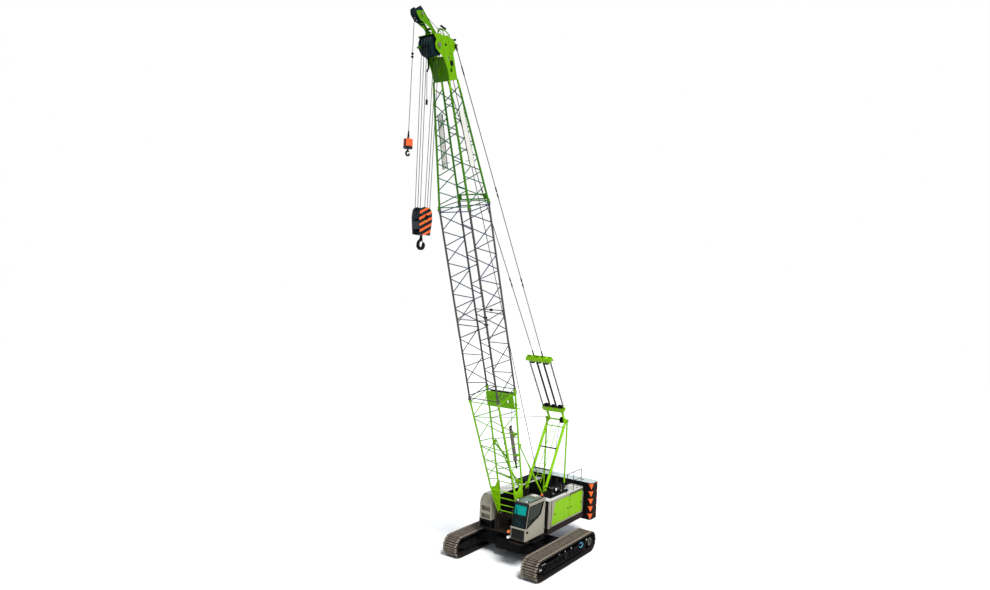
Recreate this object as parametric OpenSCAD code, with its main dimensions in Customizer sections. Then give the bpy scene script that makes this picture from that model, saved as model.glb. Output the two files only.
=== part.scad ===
/* [Tracks] */
// Length of a track over its shoes
track_len = 6100; // [5200:10:7000]
// Height of a track over its shoes
track_h = 1010; // [900:5:1200]
// Width of a track shoe
shoe_w = 850; // [600:10:1000]
// Distance between the centres of the two tracks
gauge = 4530; // [4200:10:5000]
// Number of shoes on one track
shoe_count = 60; // [50:1:72]
// Thickness of a shoe outside the chain
shoe_t = 60; // [40:1:80]
// Gap between neighbouring shoes
shoe_gap = 26; // [14:1:40]
// Depth of the chain inside the shoes
chain_h = 110; // [80:1:140]
// Width of the chain
chain_w = 300; // [220:5:360]
// Number of bottom rollers on one track
roller_count = 11; // [8:1:12]
// Diameter of a bottom roller's tread
roller_d = 250; // [180:2:300]
// Diameter of a top roller
carrier_d = 170; // [120:2:200]

/* [Side frames] */
// Distance over the two side plates of a track frame
frame_w = 460; // [420:5:520]
// Thickness of a side plate
frame_plate = 40; // [25:1:50]
// Height of the frame's lower edge above the ground
frame_low = 260; // [240:5:300]
// Height of the frame's top above the ground
frame_top = 640; // [560:5:680]

/* [Car body] */
// Length of the centre box along the tracks
body_len = 2500; // [2200:10:2800]
// Width of the centre box between the tracks
body_w = 2100; // [1800:10:2400]
// Height of the centre box's underside above the ground
body_low = 430; // [380:5:480]
// Height of the centre box
body_h = 560; // [500:5:600]
// Width of a cross beam
beam_w = 420; // [320:5:480]
// Height of a cross beam
beam_h = 380; // [300:5:420]
// Distance between the two cross beams
beam_pitch = 1640; // [1400:10:1800]
// Clearance of a beam in its pocket
beam_gap = 0.4; // [0.3:0.05:0.8]

/* [Slewing ring] */
// Outer diameter of the slewing ring
ring_d = 1900; // [1600:10:2000]
// Bore of the slewing ring
ring_bore = 1500; // [1300:10:1550]
// Height of the fixed half of the ring
ring_low_h = 150; // [100:5:170]
// Number of teeth round the ring
ring_teeth = 60; // [40:1:80]
// Diameter of the rotary joint in the middle
swivel_d = 260; // [200:5:340]
// Height of the upper structure's underside above the ground
deck_z = 1310; // [1290:5:1340]

/* [Deck] */
// Thickness of the deck plate
deck_t = 60; // [40:1:80]
// Half width of the deck
deck_half = 1600; // [1500:5:1700]
// Rear end of the deck behind the slewing axis
deck_rear = 3620; // [3560:5:3640]
// Front end of the deck ahead of the slewing axis
deck_front = 1480; // [1420:5:1560]
// Depth of the side skirt
skirt_h = 290; // [240:5:320]
// Inner face of the inner web
web_in = 590; // [560:2:600]
// Thickness of a web
web_t = 40; // [30:1:45]
// Clear space between the inner and the outer web
web_gap = 70; // [66:1:80]
// Side clearance of a hinge boss between its ears
ear_gap = 5; // [4:0.5:8]
// How much wider than its pin a bore is
run_fit = 0.1; // [0.04:0.02:0.2]

/* [Boom] */
// Boom foot pin ahead of the slewing axis
foot_x = 1184; // [1100:2:1300]
// Boom foot pin above the ground
foot_z = 2187; // [2100:2:2260]
// Angle of the boom above the horizontal, as it stands
boom_angle = 70.8; // [40:0.1:78]
// Diameter of the boom foot pins
foot_pin_d = 110; // [80:1:130]
// Width of the boom between its chord centres
boom_w = 1600; // [1400:5:1700]
// Depth of the boom between its chord centres
boom_d = 1470; // [1300:5:1600]
// Length of the base section
base_len = 6500; // [6000:50:7000]
// Length of the insert section
insert_len = 9000; // [6000:50:9500]
// Length of the top section's lattice
top_len = 5260; // [4800:20:5600]
// Start of the guide roller box on the base section
box_s = 5620; // [5400:10:5700]
// Length of the guide roller box
box_len = 720; // [600:10:760]
// Distance between the guide rollers
box_roller = 320; // [280:5:340]
// Diameter of a chord
chord_d = 90; // [70:1:110]
// Diameter of a lacing tube
brace_d = 42; // [30:1:55]
// Half of the space between two lacing tubes where they meet a chord
brace_off = 30; // [28:1:50]
// Number of lacing panels in the insert
insert_panels = 12; // [8:2:14]
// Number of lacing panels in the top section
top_panels = 8; // [6:2:12]
// Distance of a section's end frame from its joint
end_frame = 200; // [150:5:300]
// Length of the foot plates
foot_len = 1600; // [1300:10:1900]
// Depth of a foot plate at its top
foot_d = 650; // [500:5:760]
// Width of the boom head between its plates' centres
head_w = 814; // [760:2:900]
// Depth of the boom at the end of the lattice
head_d = 566; // [500:2:640]
// Thickness of a head plate
head_plate = 30; // [20:1:40]
// Head sheave pin ahead of the end of the lattice
head_ahead = 1380; // [1250:10:1600]
// Head sheave pin towards the boom's underside
head_n = 640; // [560:5:700]
// Number of head sheaves
head_sheaves_n = 5; // [3:1:6]
// Diameter of a head sheave
head_sheave_d = 800; // [640:5:840]
// Diameter of the head sheave pin
head_pin_d = 120; // [90:2:140]
// Diameter of the tip sheave pin
tip_pin_d = 70; // [50:1:90]
// Pendant lug ahead of the end of the lattice
lug_ahead = 1320; // [1200:10:1500]
// Pendant lug towards the boom's back
lug_n = 420; // [360:5:480]
// Tip sheave pin ahead of the head sheave pin
tip_ahead = 1200; // [1000:10:1400]
// Tip sheave pin below the head sheave pin
tip_drop = 450; // [380:5:520]
// Diameter of the tip sheave
tip_sheave_d = 500; // [440:5:560]
// Distance of a tip frame's arm from the middle plane
tip_arm_y = 160; // [140:5:200]

// Start of the spring cylinder inside the base section
spring_s = 3020; // [2800:10:3200]
// Length of the spring cylinder
spring_len = 1620; // [1400:10:1800]
// Diameter of the spring cylinder
spring_d = 136; // [110:2:160]

/* [Gantry] */
// Front leg's pin behind the slewing axis
gantry_x = 1190; // [1100:5:1300]
// Front leg's pin above the ground
gantry_z = 2960; // [2900:5:3040]
// Head pin behind the slewing axis
mast_x = 3150; // [3000:5:3250]
// Head pin above the ground
mast_z = 6420; // [6200:5:6600]
// Distance of a front leg from the middle plane
gantry_y = 540; // [535:1:545]
// Diameter of the pin at a front leg's foot
gantry_pin_d = 60; // [50:1:80]
// Diameter of the head pin
mast_pin_d = 90; // [70:1:110]
// Diameter of a front leg
leg_d = 150; // [120:2:170]
// Distance of a rear leg from the middle plane
rear_leg_y = 630; // [610:1:650]
// Diameter of a rear leg
rear_leg_d = 90; // [70:1:120]

/* [Stays] */
// Head pin of the gantry to the lower spreader
spread_low = 780; // [700:5:860]
// Head pin of the gantry to the upper spreader
spread_high = 4080; // [3800:10:4400]
// Width of the lower spreader
spread_low_w = 1400; // [1300:10:1500]
// Width of the upper spreader
spread_high_w = 1600; // [1500:10:1700]
// Length of a spreader along the stays
spread_len = 320; // [280:5:420]
// Diameter of a pendant rope
pendant_d = 34; // [24:1:44]
// Diameter of the luffing rope
luff_rope_d = 26; // [18:1:30]
// Backstop's seat behind the slewing axis
stop_x = 735; // [700:5:800]
// Backstop's seat above the ground
stop_z = 2960; // [2900:5:3040]
// Backstop's eye along the boom from the foot pin
stop_s = 3660; // [3400:10:3900]
// Backstop's eye behind the chord's centre line
stop_off = 150; // [130:1:180]
// Outer diameter of the backstop's tube
stop_d = 90; // [70:1:110]
// Diameter of the backstop's foot pin
stop_pin_d = 50; // [40:1:60]
// Diameter of the backstop's rod
stop_rod_d = 60; // [45:1:66]

/* [Winches] */
// Diameter of a winch drum's shaft
winch_shaft_d = 120; // [90:2:150]

/* [Houses] */
// Outer half width of the houses
house_half = 1620; // [1600:5:1660]
// Inner face of the left house
left_in = 830; // [780:5:900]
// Inner face of the right house
right_in = 900; // [850:5:950]
// Height of the houses' roofs above the ground
house_top = 2980; // [2900:5:3060]
// Front end of the left house
left_front = 200; // [100:5:300]
// Front end of the right house
right_front = 1530; // [1400:5:1600]
// Wall thickness of the houses
house_wall = 50; // [35:1:60]
// Lower edge of the side doors above the ground
door_low = 1690; // [1650:5:1750]
// Upper edge of the side doors above the ground
door_high = 2840; // [2780:5:2860]
// Gap round a side door
door_gap = 8; // [6:0.5:12]

/* [Hinges] */
// Distance of a hinge's axis from the door's face
hinge_off = 20; // [16:1:30]
// Diameter of a hinge pin
hinge_pin_d = 16; // [12:1:20]
// Length of a hinge
hinge_len = 120; // [90:5:160]

/* [Cab] */
// Inner side of the cab
cab_in = 820; // [800:5:850]
// Outer side of the cab
cab_out = 1610; // [1580:5:1640]
// Front of the cab
cab_front = 2430; // [2300:5:2500]
// Back of the cab
cab_back = 600; // [540:5:660]
// Underside of the cab above the ground
cab_low = 1540; // [1500:5:1600]
// Roof of the cab above the ground
cab_top = 3300; // [3200:5:3360]
// Wall thickness of the cab
cab_wall = 50; // [35:1:60]
// Thickness of the glass
glass_t = 8; // [5:0.5:12]
// Fitting gap round glass
glass_gap = 0.3; // [0.2:0.05:0.5]

/* [Counterweight] */
// Half width of a slab
weight_half = 2000; // [1900:5:2100]
// Thickness of a slab from front to rear
weight_t = 790; // [700:5:900]
// Height of one slab
weight_h = 400; // [360:2:420]
// Number of slabs
weight_n = 5; // [3:1:6]
// Underside of the lowest slab above the ground
weight_low = 1168; // [1100:2:1250]
// Front face of the counterweight behind the slewing axis
weight_front = 3755; // [3700:5:3800]
// Corner chamfer of a slab
weight_chamfer = 90; // [40:5:140]

/* [Hooks] */
// Width of the main hook block
block_w = 410; // [340:5:460]
// Length of the block's side plates
block_l = 800; // [700:5:900]
// Head sheave pin to the block's sheave pin
block_drop = 6870; // [3000:10:12000]
// Diameter of a block sheave
block_sheave_d = 600; // [500:5:660]
// Diameter of the hoist rope
rope_d = 24; // [16:1:30]
// Tip sheave pin to the ball of the second hook
ball_drop = 5130; // [2000:10:10000]
// Diameter of the ball
ball_d = 360; // [280:5:420]

/* [Hidden] */
$fn = 48;
seat = 0.3;

lime = "#7ac70c";
light_grey = "#b9b2a6";
dark = "#1c1c1c";
steel = "#75695d";
chord_grey = "#8d8d8d";

// Derived places
track_r = track_h / 2 - shoe_t;
track_c = track_len - track_h;
rib_out = 90;
roller_z = shoe_t + chain_h + roller_d / 2 + seat;
flange_d = roller_d + 50;
floor_z = roller_z + flange_d / 2 + 10;
wheel_r = track_r - chain_h - seat;
shoe_pitch = (2 * track_c + 2 * PI * track_r) / shoe_count;
shoe_back = 25;
boss_y = web_in + web_t + web_gap / 2;
boss_w = web_gap - 2 * ear_gap;
stop_ear = 80;
gantry_fork = 2 * (web_in - gantry_y);
leg_boss = gantry_fork - 2 * seat;
web_out = web_in + web_t + web_gap;
deck_top = deck_z + deck_t;
joint_gap = 0.5;
base_end = base_len;
insert_end = base_len + insert_len;
lattice_end = insert_end + top_len;
head_s = lattice_end + head_ahead;
lug_s = lattice_end + lug_ahead;
tip_s = head_s + tip_ahead;
tip_n = head_n + tip_drop;
cover_s = head_s + head_sheave_d / 2 + 30;
foot_half = boss_y;
spring_y = 590;
spring_h = 250;
guide_sheaves = [270, 350];
guide_sheave_d = 320;
ladder_ys = [-190, 150];
roller_h = half_d(box_s + box_len) + 100;
stay_angle = atan2(lug_pos()[2] - mast_z, lug_pos()[0] + mast_x);
pendant_end_y = head_w / 2 + head_plate / 2 + 52;
stay_len = norm([lug_pos()[0] + mast_x, lug_pos()[2] - mast_z]);
weight_top = weight_low + weight_n * weight_h;
block_pin = boom_point(head_s, 0, -head_n) - [0, 0, block_drop];
sheave_pitch = (head_w - 150) / head_sheaves_n;
head_sheave_w = 80;
block_sheave_w = 70;
tip_sheave_w = 70;
ball_pin = boom_point(tip_s, 0, -tip_n) + [groove_r(tip_sheave_d, tip_sheave_w), 0, -ball_drop];

// A point in the boom's own frame, s along it and h above it, brought to where the boom stands
function boom_point(s, y, h) = [
    foot_x + s * cos(boom_angle) - h * sin(boom_angle),
    y,
    foot_z + s * sin(boom_angle) + h * cos(boom_angle)
];
// Where a rope's centre runs on a sheave of diameter d and width w
function groove_r(d, w) = d / 2 - rope_d * 1.4 + (rope_d / 2 + seat) / sin(atan(0.36 * w / (rope_d * 1.4 + 1)));
function lug_pos() = boom_point(lug_s, 0, lug_n);
function mix(a, b, t) = a + (b - a) * t;

// An outline with its corners rounded: each point is x, y, radius
function rounded(pts, steps = 5) = [
    for (i = [0:len(pts) - 1])
        let (
            a = pts[(i + len(pts) - 1) % len(pts)],
            b = pts[i],
            c = pts[(i + 1) % len(pts)],
            u = [a[0] - b[0], a[1] - b[1]] / norm([a[0] - b[0], a[1] - b[1]]),
            v = [c[0] - b[0], c[1] - b[1]] / norm([c[0] - b[0], c[1] - b[1]]),
            half = acos(u * v) / 2,
            r = b[2],
            reach = r / tan(half),
            centre = [b[0], b[1]] + (u + v) / norm(u + v) * r / sin(half),
            p = [b[0], b[1]] + u * reach,
            q = [b[0], b[1]] + v * reach,
            a0 = atan2(p[1] - centre[1], p[0] - centre[0]),
            a1 = atan2(q[1] - centre[1], q[0] - centre[0]),
            turn = (a1 - a0 + 540) % 360 - 180
        )
        each (r <= 0
            ? [[b[0], b[1]]]
            : [for (k = [0:steps]) centre + r * [cos(a0 + turn * k / steps), sin(a0 + turn * k / steps)]])
];

// Round bar or tube between two points
module rod(p, q, d) {
    v = q - p;
    translate(p) rotate([0, acos(v[2] / norm(v)), atan2(v[1], v[0])]) cylinder(d = d, h = norm(v));
}

// Cylinder along Y, centred
module bar_y(d, w) {
    rotate([90, 0, 0]) cylinder(d = d, h = w, center = true);
}

// Outline drawn in X and Z, given a width along Y from y0 to y1
module slab_y(pts, y0, y1) {
    translate([0, y1, 0]) rotate([90, 0, 0]) linear_extrude(y1 - y0) polygon(pts);
}

// Flat strip w wide from p to q, for slab_y
function strip(p, q, w) =
    let (d = (q - p) / norm(q - p), n = [-d[1], d[0]] * w / 2)
    [p + n, p - n, q - n, q + n];

module at_boom() {
    translate([foot_x, 0, foot_z]) rotate([0, -boom_angle, 0]) children();
}

module at_stays() {
    translate([-mast_x, 0, mast_z]) rotate([0, -stay_angle, 0]) children();
}

module both_sides() {
    for (side = [-1, 1]) scale([1, side, 1]) children();
}

// Tracks
// Place and heading on the shoes' inner line at distance u round the loop
function loop_at(u) =
    let (straight = track_c, arc = PI * track_r)
    u < straight ? [-straight / 2 + u, -track_r, 0]
    : u < straight + arc
        ? let (a = (u - straight) / track_r * 180 / PI)
            [straight / 2 + track_r * sin(a), -track_r * cos(a), a]
    : u < 2 * straight + arc ? [straight / 2 - (u - straight - arc), track_r, 180]
    : let (a = 180 + (u - 2 * straight - arc) / track_r * 180 / PI)
        [-straight / 2 + track_r * sin(a), -track_r * cos(a), a];

function shoe_outline(i) =
    let (
        f = loop_at((i + 0.5) * shoe_pitch),
        w = shoe_pitch - shoe_gap,
        on_arc = abs(f[0]) > track_c / 2 - w / 2,
        sink = on_arc ? track_r + shoe_t - sqrt((track_r + shoe_t) ^ 2 - (w / 2 - 12) ^ 2) : 0,
        local = [[-w / 2, 0], [-w / 2 + 12, shoe_t - sink], [w / 2 - 12, shoe_t - sink], [w / 2, 0]]
    )
    [for (p = local) [f[0] + p[0] * cos(f[2]) + p[1] * sin(f[2]), f[1] + p[0] * sin(f[2]) - p[1] * cos(f[2])]];

module bar_race(r, w) {
    for (x = [-track_c / 2, track_c / 2]) translate([x, 0, 0]) bar_y(2 * r, w);
    cube([track_c, w, 2 * r], center = true);
}

module track_loop() {
    side_w = (shoe_w - chain_w) / 2 + 1;
    translate([0, 0, track_h / 2])
        difference() {
            slab_y([for (i = [0:shoe_count - 1]) each shoe_outline(i)], -shoe_w / 2, shoe_w / 2);
            both_sides() translate([0, chain_w / 2 + side_w / 2, 0]) bar_race(track_r - shoe_back, side_w);
            bar_race(track_r - chain_h, chain_w + 10);
        }
}

module track_left() {
    color(steel) translate([0, gauge / 2, 0]) track_loop();
}

module track_right() {
    color(steel) translate([0, -gauge / 2, 0]) track_loop();
}

module side_frame() {
    inner = frame_w / 2 - frame_plate;
    reach = track_c / 2;
    beam_end = reach - 620;
    color(dark) {
        both_sides() difference() {
            slab_y([
                [-reach - 90, track_h / 2 - 90], [-reach + 480, frame_low], [reach - 480, frame_low],
                [reach + 90, track_h / 2 - 90], [reach + 90, track_h / 2 + 90], [reach - 300, frame_top],
                [-reach + 300, frame_top], [-reach - 90, track_h / 2 + 90]
            ], inner, frame_w / 2);
            for (x = [-1.5:1:1.5])
                translate([x * track_c * 0.2, frame_w / 2, (frame_low + frame_top) / 2 + 20])
                    bar_y(210, 3 * frame_plate);
        }
        side_ribs(reach);
        for (z = [frame_top - 30, floor_z])
            translate([-beam_end, -inner - 1, z]) cube([2 * beam_end, 2 * inner + 2, 30]);
        for (x = [-1, 0, 1] * beam_pitch / 2)
            translate([x - 15, -inner - 1, floor_z]) cube([30, 2 * inner + 2, frame_top - floor_z]);
        for (x = carrier_places())
            translate([x, 0, frame_top])
                both_sides()
                    translate([-60, 115, -1]) cube([120, 25, track_h - shoe_t - chain_h - carrier_d / 2 - frame_top + 51]);
    }
}

// Ledges and upright ribs on the outer face, and the round cover in the middle
module side_ribs(reach) {
    y = frame_w / 2 - 1;
    translate([-reach + 420, y, frame_low]) cube([2 * reach - 840, rib_out + 1, 60]);
    translate([-reach + 330, y, frame_top - 40]) cube([2 * reach - 660, rib_out + 1, 40]);
    for (x = [-2, -1, 1, 2] * track_c * 0.18)
        translate([x - 20, y, frame_low + 1]) cube([40, rib_out * 0.8, frame_top - frame_low - 2]);
    for (side = [-1, 1])
        slab_y(strip([side * track_c * 0.36, frame_low + 30], [side * (reach - 330), frame_top - 20], 36), y, y + rib_out * 0.8);
    translate([0, y + 35, (frame_low + frame_top) / 2]) bar_y(330, 70);
}

function carrier_places() = [-track_c * 0.2, track_c * 0.2];

module side_frame_left() {
    translate([0, gauge / 2, 0]) side_frame();
}

module side_frame_right() {
    scale([1, -1, 1]) side_frame_left();
}

module track_rollers() {
    inner = frame_w / 2 - frame_plate;
    first = -track_c / 2 + 620;
    step = (track_c - 1240) / (roller_count - 1);
    color(dark) both_sides() translate([0, gauge / 2, 0]) {
        for (i = [0:roller_count - 1])
            translate([first + i * step, 0, roller_z]) {
                bar_y(roller_d, chain_w + 40);
                both_sides() translate([0, chain_w / 2 + 13.5, 0]) bar_y(flange_d, 23);
                bar_y(90, 2 * inner - 2 * seat);
            }
        for (x = carrier_places())
            translate([x, 0, track_h - shoe_t - chain_h - carrier_d / 2 - seat]) bar_y(carrier_d, 230 - 2 * seat);
    }
}

module idler_wheels() {
    inner = frame_w / 2 - frame_plate;
    color(dark)
        both_sides()
            translate([track_c / 2, gauge / 2, track_h / 2])
                difference() {
                    union() {
                        bar_y(2 * wheel_r, 150);
                        bar_y(240, 2 * inner - 2 * seat);
                    }
                    both_sides()
                        translate([0, 75, 0])
                            difference() {
                                bar_y(2 * wheel_r - 90, 60);
                                bar_y(300, 62);
                            }
                }
}

module drive_wheels() {
    inner = frame_w / 2 - frame_plate;
    teeth = 14;
    color(dark) both_sides() translate([-track_c / 2, gauge / 2, track_h / 2]) {
        rotate([90, 0, 0])
            linear_extrude(110, center = true)
                polygon([for (i = [0:teeth - 1]) each [
                    for (k = [[-8, 0.84], [-4, 1], [4, 1], [8, 0.84]])
                        wheel_r * k[1] * [cos(360 * i / teeth + k[0]), sin(360 * i / teeth + k[0])]
                ]]);
        bar_y(380, 2 * inner - 2 * seat);
        translate([0, frame_w / 2 + 45 + seat, 0]) bar_y(430, 90);
        translate([0, -frame_w / 2 - 110 - seat, 0]) bar_y(480, 220);
    }
}

// Car body
module car_body() {
    z0 = body_low;
    color(dark) difference() {
        union() {
            translate([0, 0, z0])
                linear_extrude(body_h)
                    polygon([for (s = [[1, 1], [-1, 1], [-1, -1], [1, -1]]) each (
                        s[0] * s[1] > 0
                            ? [[s[0] * body_len / 2, s[1] * (body_w / 2 - 350)], [s[0] * (body_len / 2 - 350), s[1] * body_w / 2]]
                            : [[s[0] * (body_len / 2 - 350), s[1] * body_w / 2], [s[0] * body_len / 2, s[1] * (body_w / 2 - 350)]]
                    )]);
            translate([0, 0, z0 + body_h - 1])
                cylinder(d = ring_d + 40, h = deck_z - ring_low_h - z0 - body_h - 30 + 1);
        }
        for (x = [-1, 1] * beam_pitch / 2)
            translate([x, 0, beam_z()]) cube([beam_w + 2 * beam_gap, body_w + 2, beam_h + 2 * beam_gap], center = true);
        translate([0, 0, z0 + 40]) cylinder(d = 700, h = deck_z);
        for (a = [0:90:270]) rotate([0, 0, a]) translate([240, 0, z0 - 1]) cylinder(d = 120, h = 50);
    }
    color(steel) translate([0, 0, z0 + 39]) cylinder(d = swivel_d, h = deck_top + 90 - z0 - 39);
}

function beam_z() = body_low + 60 + beam_h / 2;

module cross_beams() {
    reach = gauge / 2 - frame_w / 2 - seat;
    color(dark)
        for (x = [-1, 1] * beam_pitch / 2)
            translate([x, 0, beam_z()])
                difference() {
                    union() {
                        cube([beam_w, 2 * reach, beam_h], center = true);
                        both_sides() translate([-beam_w / 2 - 50, reach - 40, -beam_h / 2]) cube([beam_w + 100, 40, beam_h + 40]);
                    }
                    cube([beam_w - 80, 2 * reach - 300, beam_h - 80], center = true);
                    for (y = [-1, 1] * (reach - 320)) translate([0, y, 0]) cylinder(d = 160, h = beam_h + 2, center = true);
                }
}

module slew_ring_fixed() {
    z0 = deck_z - ring_low_h - 30;
    color(steel)
        translate([0, 0, z0 + seat])
            difference() {
                union() {
                    cylinder(d = ring_d - 60, h = ring_low_h - seat);
                    linear_extrude(ring_low_h - 50)
                        polygon([for (i = [0:ring_teeth - 1]) each [
                            for (k = [[-0.34, 0], [-0.16, 1], [0.16, 1], [0.34, 0]])
                                (ring_d / 2 - 30 * (1 - k[1])) * [cos(360 * (i + k[0]) / ring_teeth), sin(360 * (i + k[0]) / ring_teeth)]
                        ]]);
                }
                translate([0, 0, -1]) cylinder(d = ring_bore, h = ring_low_h + 2);
            }
}

// Deck
module web_plate(y0) {
    slab_y([
        [-deck_rear, deck_z + 1], [deck_front - 60, deck_z + 1], [deck_front - 60, foot_z - 330],
        [foot_x + 150, foot_z + 60], [foot_x + 60, foot_z + 150], [foot_x - 60, foot_z + 150],
        [foot_x - 170, foot_z + 40], [foot_x - 420, 1950],
        [-stop_x + 330, 1950], [-stop_x + stop_ear, stop_z], [-stop_x + stop_ear * 0.7, stop_z + stop_ear * 0.7],
        [-stop_x - stop_ear * 0.7, stop_z + stop_ear * 0.7],
        [-gantry_x + 100, gantry_z + 60], [-gantry_x - 90, gantry_z + 60], [-gantry_x - 330, 1950],
        [-deck_rear + 400, 1750], [-deck_rear, 1700]
    ], y0, y0 + web_t);
}

module deck_frame() {
    color(dark) {
        difference() {
            union() {
                translate([-deck_rear, -deck_half, deck_z]) cube([deck_rear + left_front, 2 * deck_half, deck_t]);
                translate([left_front - 1, -deck_half, deck_z]) cube([right_front - left_front - 60 + 1, deck_half - right_in + 60, deck_t]);
                translate([left_front - 1, -web_out - web_t - 60, deck_z])
                    cube([deck_front - 60 - left_front + 1, 2 * (web_out + web_t + 60), deck_t]);
                translate([left_front - 1, cab_in - 100, deck_z]) cube([cab_front - left_front - 100, deck_half - cab_in - 40, deck_t]);
                both_sides() {
                    web_plate(web_in);
                    web_plate(web_out);
                }
                for (side = [-1, 1])
                    translate([-deck_rear, side > 0 ? deck_half - 40 : -deck_half, deck_z])
                        cube([deck_rear + (side > 0 ? left_front : right_front - 60), 40, skirt_h]);
                translate([-deck_rear, -deck_half, deck_z]) cube([40, 2 * deck_half, skirt_h + 100]);
                translate([-weight_front + seat, -weight_half * 0.6, deck_z])
                    cube([weight_front - deck_rear - seat + 1, weight_half * 1.2, skirt_h + 100]);
                both_sides()
                    slab_y([
                        [-gantry_x + 200, deck_z + 1], [-gantry_x + 60, gantry_z + 60],
                        [-gantry_x - 60, gantry_z + 60], [-gantry_x - 200, deck_z + 1]
                    ], gantry_y - gantry_fork / 2 - web_t, gantry_y - gantry_fork / 2);
                both_sides() translate([-mast_x - 130, rear_leg_y - 75, deck_z]) cube([260, 150, 540]);
                translate([cab_back + 60, cab_in + 40, deck_top - 1]) cube([140, cab_out - cab_in - 80, cab_low - deck_top + 1 - seat]);
                translate([cab_front - 460, cab_in + 40, deck_top - 1]) cube([140, cab_out - cab_in - 80, cab_low - deck_top + 1 - seat]);
                translate([0, 0, deck_z - 30 + seat]) cylinder(d = ring_d, h = 31);
            }
            translate([0, 0, deck_z - 40]) cylinder(d = ring_bore, h = 40);
            translate([0, 0, deck_z - 1]) cylinder(d = swivel_d + 200, h = deck_t + 2);
            both_sides() {
                translate([foot_x, boss_y, foot_z]) bar_y(foot_pin_d + run_fit, web_gap + 3 * web_t);
                translate([-stop_x, boss_y, stop_z]) bar_y(stop_pin_d + run_fit, web_gap + 3 * web_t);
                translate([-gantry_x, gantry_y, gantry_z]) bar_y(gantry_pin_d + run_fit, gantry_fork + 3 * web_t);
            }
        }
    }
}

module hinge_pins() {
    color(steel) both_sides() {
        translate([foot_x, boss_y, foot_z]) {
            bar_y(foot_pin_d, web_gap + 2 * web_t + 40);
            translate([0, web_gap / 2 + web_t + 20, 0]) bar_y(foot_pin_d + 50, 20);
        }
        translate([-stop_x, boss_y, stop_z]) bar_y(stop_pin_d, web_gap + 2 * web_t + 20);
        translate([-gantry_x, gantry_y, gantry_z]) bar_y(gantry_pin_d, gantry_fork + 2 * web_t + 20);
    }
}

// Houses

function left_box() = [
    [-deck_rear + 180, deck_top + seat, 0], [left_front, deck_top + seat, 0],
    [left_front, house_top, 30], [-deck_rear + 180, house_top, 30]
];
function right_box() = [
    [-deck_rear + 180, deck_top + seat, 0], [right_front, deck_top + seat, 0],
    [right_front, house_top, 430], [-deck_rear + 180, house_top, 30]
];
function inset(pts, w) = [for (p = pts) [p[0] + (p[0] < -1000 ? w : -w), p[1] + (p[1] < 2000 ? w : -w), max(p[2] - w, 0)]];

// Doors of a house, each given as its outline in X and Z
door_split = -1930;
door_rear_x = -deck_rear + 240;
front_hinge_x = door_split + door_gap / 2;
rear_hinge_x = door_rear_x + door_gap / 2;
door_hinges = [door_low + 180, door_high - 180];
cab_sill = cab_low + 590;
screen_low = cab_sill + 30;
screen_high = cab_top - 130;
screen_side = 62;
roof_window = 800;
cab_hinge_x = cab_back + 60 + door_gap / 2;
cab_hinges = [cab_low + 300, cab_top - 400];
function front_door(g) = [
    [door_split + g, door_low + g], [-80 - g, door_low + g], [-410 - g, door_high - g], [door_split + g, door_high - g]
];
function rear_door(g) = [
    [door_rear_x + g, door_low + g], [door_split - 100 - g, door_low + g],
    [door_split - 100 - g, door_high - g], [door_rear_x + g, door_high - g]
];

module house_left() {
    color(steel) {
        hinge_ears(front_hinge_x, house_half, door_hinges);
        hinge_ears(rear_hinge_x, house_half, door_hinges);
    }
    color(light_grey) difference() {
        slab_y(rounded(left_box()), left_in, house_half);
        slab_y(rounded(inset(left_box(), house_wall)), left_in + house_wall, house_half - house_wall);
        translate([-deck_rear, deck_half - 40 - seat, deck_z]) cube([deck_rear + left_front + 1, 100, skirt_h + seat]);
        slab_y(front_door(0), house_half - house_wall - 1, house_half + 1);
        slab_y(rear_door(0), house_half - house_wall - 1, house_half + 1);
    }
}

module house_right() {
    step_z = [for (down = [1230, 860, 480]) house_top - down];
    color(steel) scale([1, -1, 1]) {
        hinge_ears(front_hinge_x, house_half, door_hinges);
        hinge_ears(rear_hinge_x, house_half, door_hinges);
    }
    color(light_grey) difference() {
        union() {
            difference() {
                slab_y(rounded(right_box()), -house_half, -right_in);
                slab_y(rounded(inset(right_box(), house_wall)), -house_half + house_wall, -right_in - house_wall);
            }
            for (z = step_z)
                translate([right_front - 300, -house_half + 60, z - 340]) cube([260, house_half - right_in - 120, 330]);
        }
        for (z = step_z)
            translate([right_front - 190, -house_half + 90, z - 300]) cube([200, house_half - right_in - 180, 260]);
        translate([-deck_rear, -deck_half - 60 + seat, deck_z]) cube([deck_rear + right_front + 1, 100, skirt_h + seat]);
        slab_y(front_door(0), -house_half - 1, -house_half + house_wall + 1);
        slab_y(rear_door(0), -house_half - 1, -house_half + house_wall + 1);
    }
}

// Hinge on a side face: x of its axis, the face's y, heights of the hinges
module hinge_ears(x, face, heights) {
    for (z = heights)
        translate([x, face + hinge_off, z]) {
            cylinder(d = hinge_pin_d, h = hinge_len, center = true);
            for (side = [-1, 1])
                translate([0, 0, side * (hinge_len / 2 - 9)]) {
                    cylinder(r = 14, h = 18, center = true);
                    translate([-70, -hinge_off - 1, -9]) cube([70, hinge_off + 15, 18]);
                }
        }
}

module hinge_leaves(x, face, heights) {
    for (z = heights)
        translate([x, face + hinge_off, z])
            difference() {
                union() {
                    cylinder(r = 17, h = hinge_len - 36 - 2 * seat, center = true);
                    translate([0, -hinge_off - 1, -30]) cube([160, 13, 60]);
                }
                cylinder(d = hinge_pin_d + run_fit, h = hinge_len, center = true);
            }
}

module side_door(pts, x) {
    slab_y(pts, house_half - house_wall, house_half);
    hinge_leaves(x, house_half, door_hinges);
}

module door_left_front() {
    color(lime) side_door(front_door(door_gap), front_hinge_x);
}

module door_left_rear() {
    color(lime) side_door(rear_door(door_gap), rear_hinge_x);
}

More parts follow.
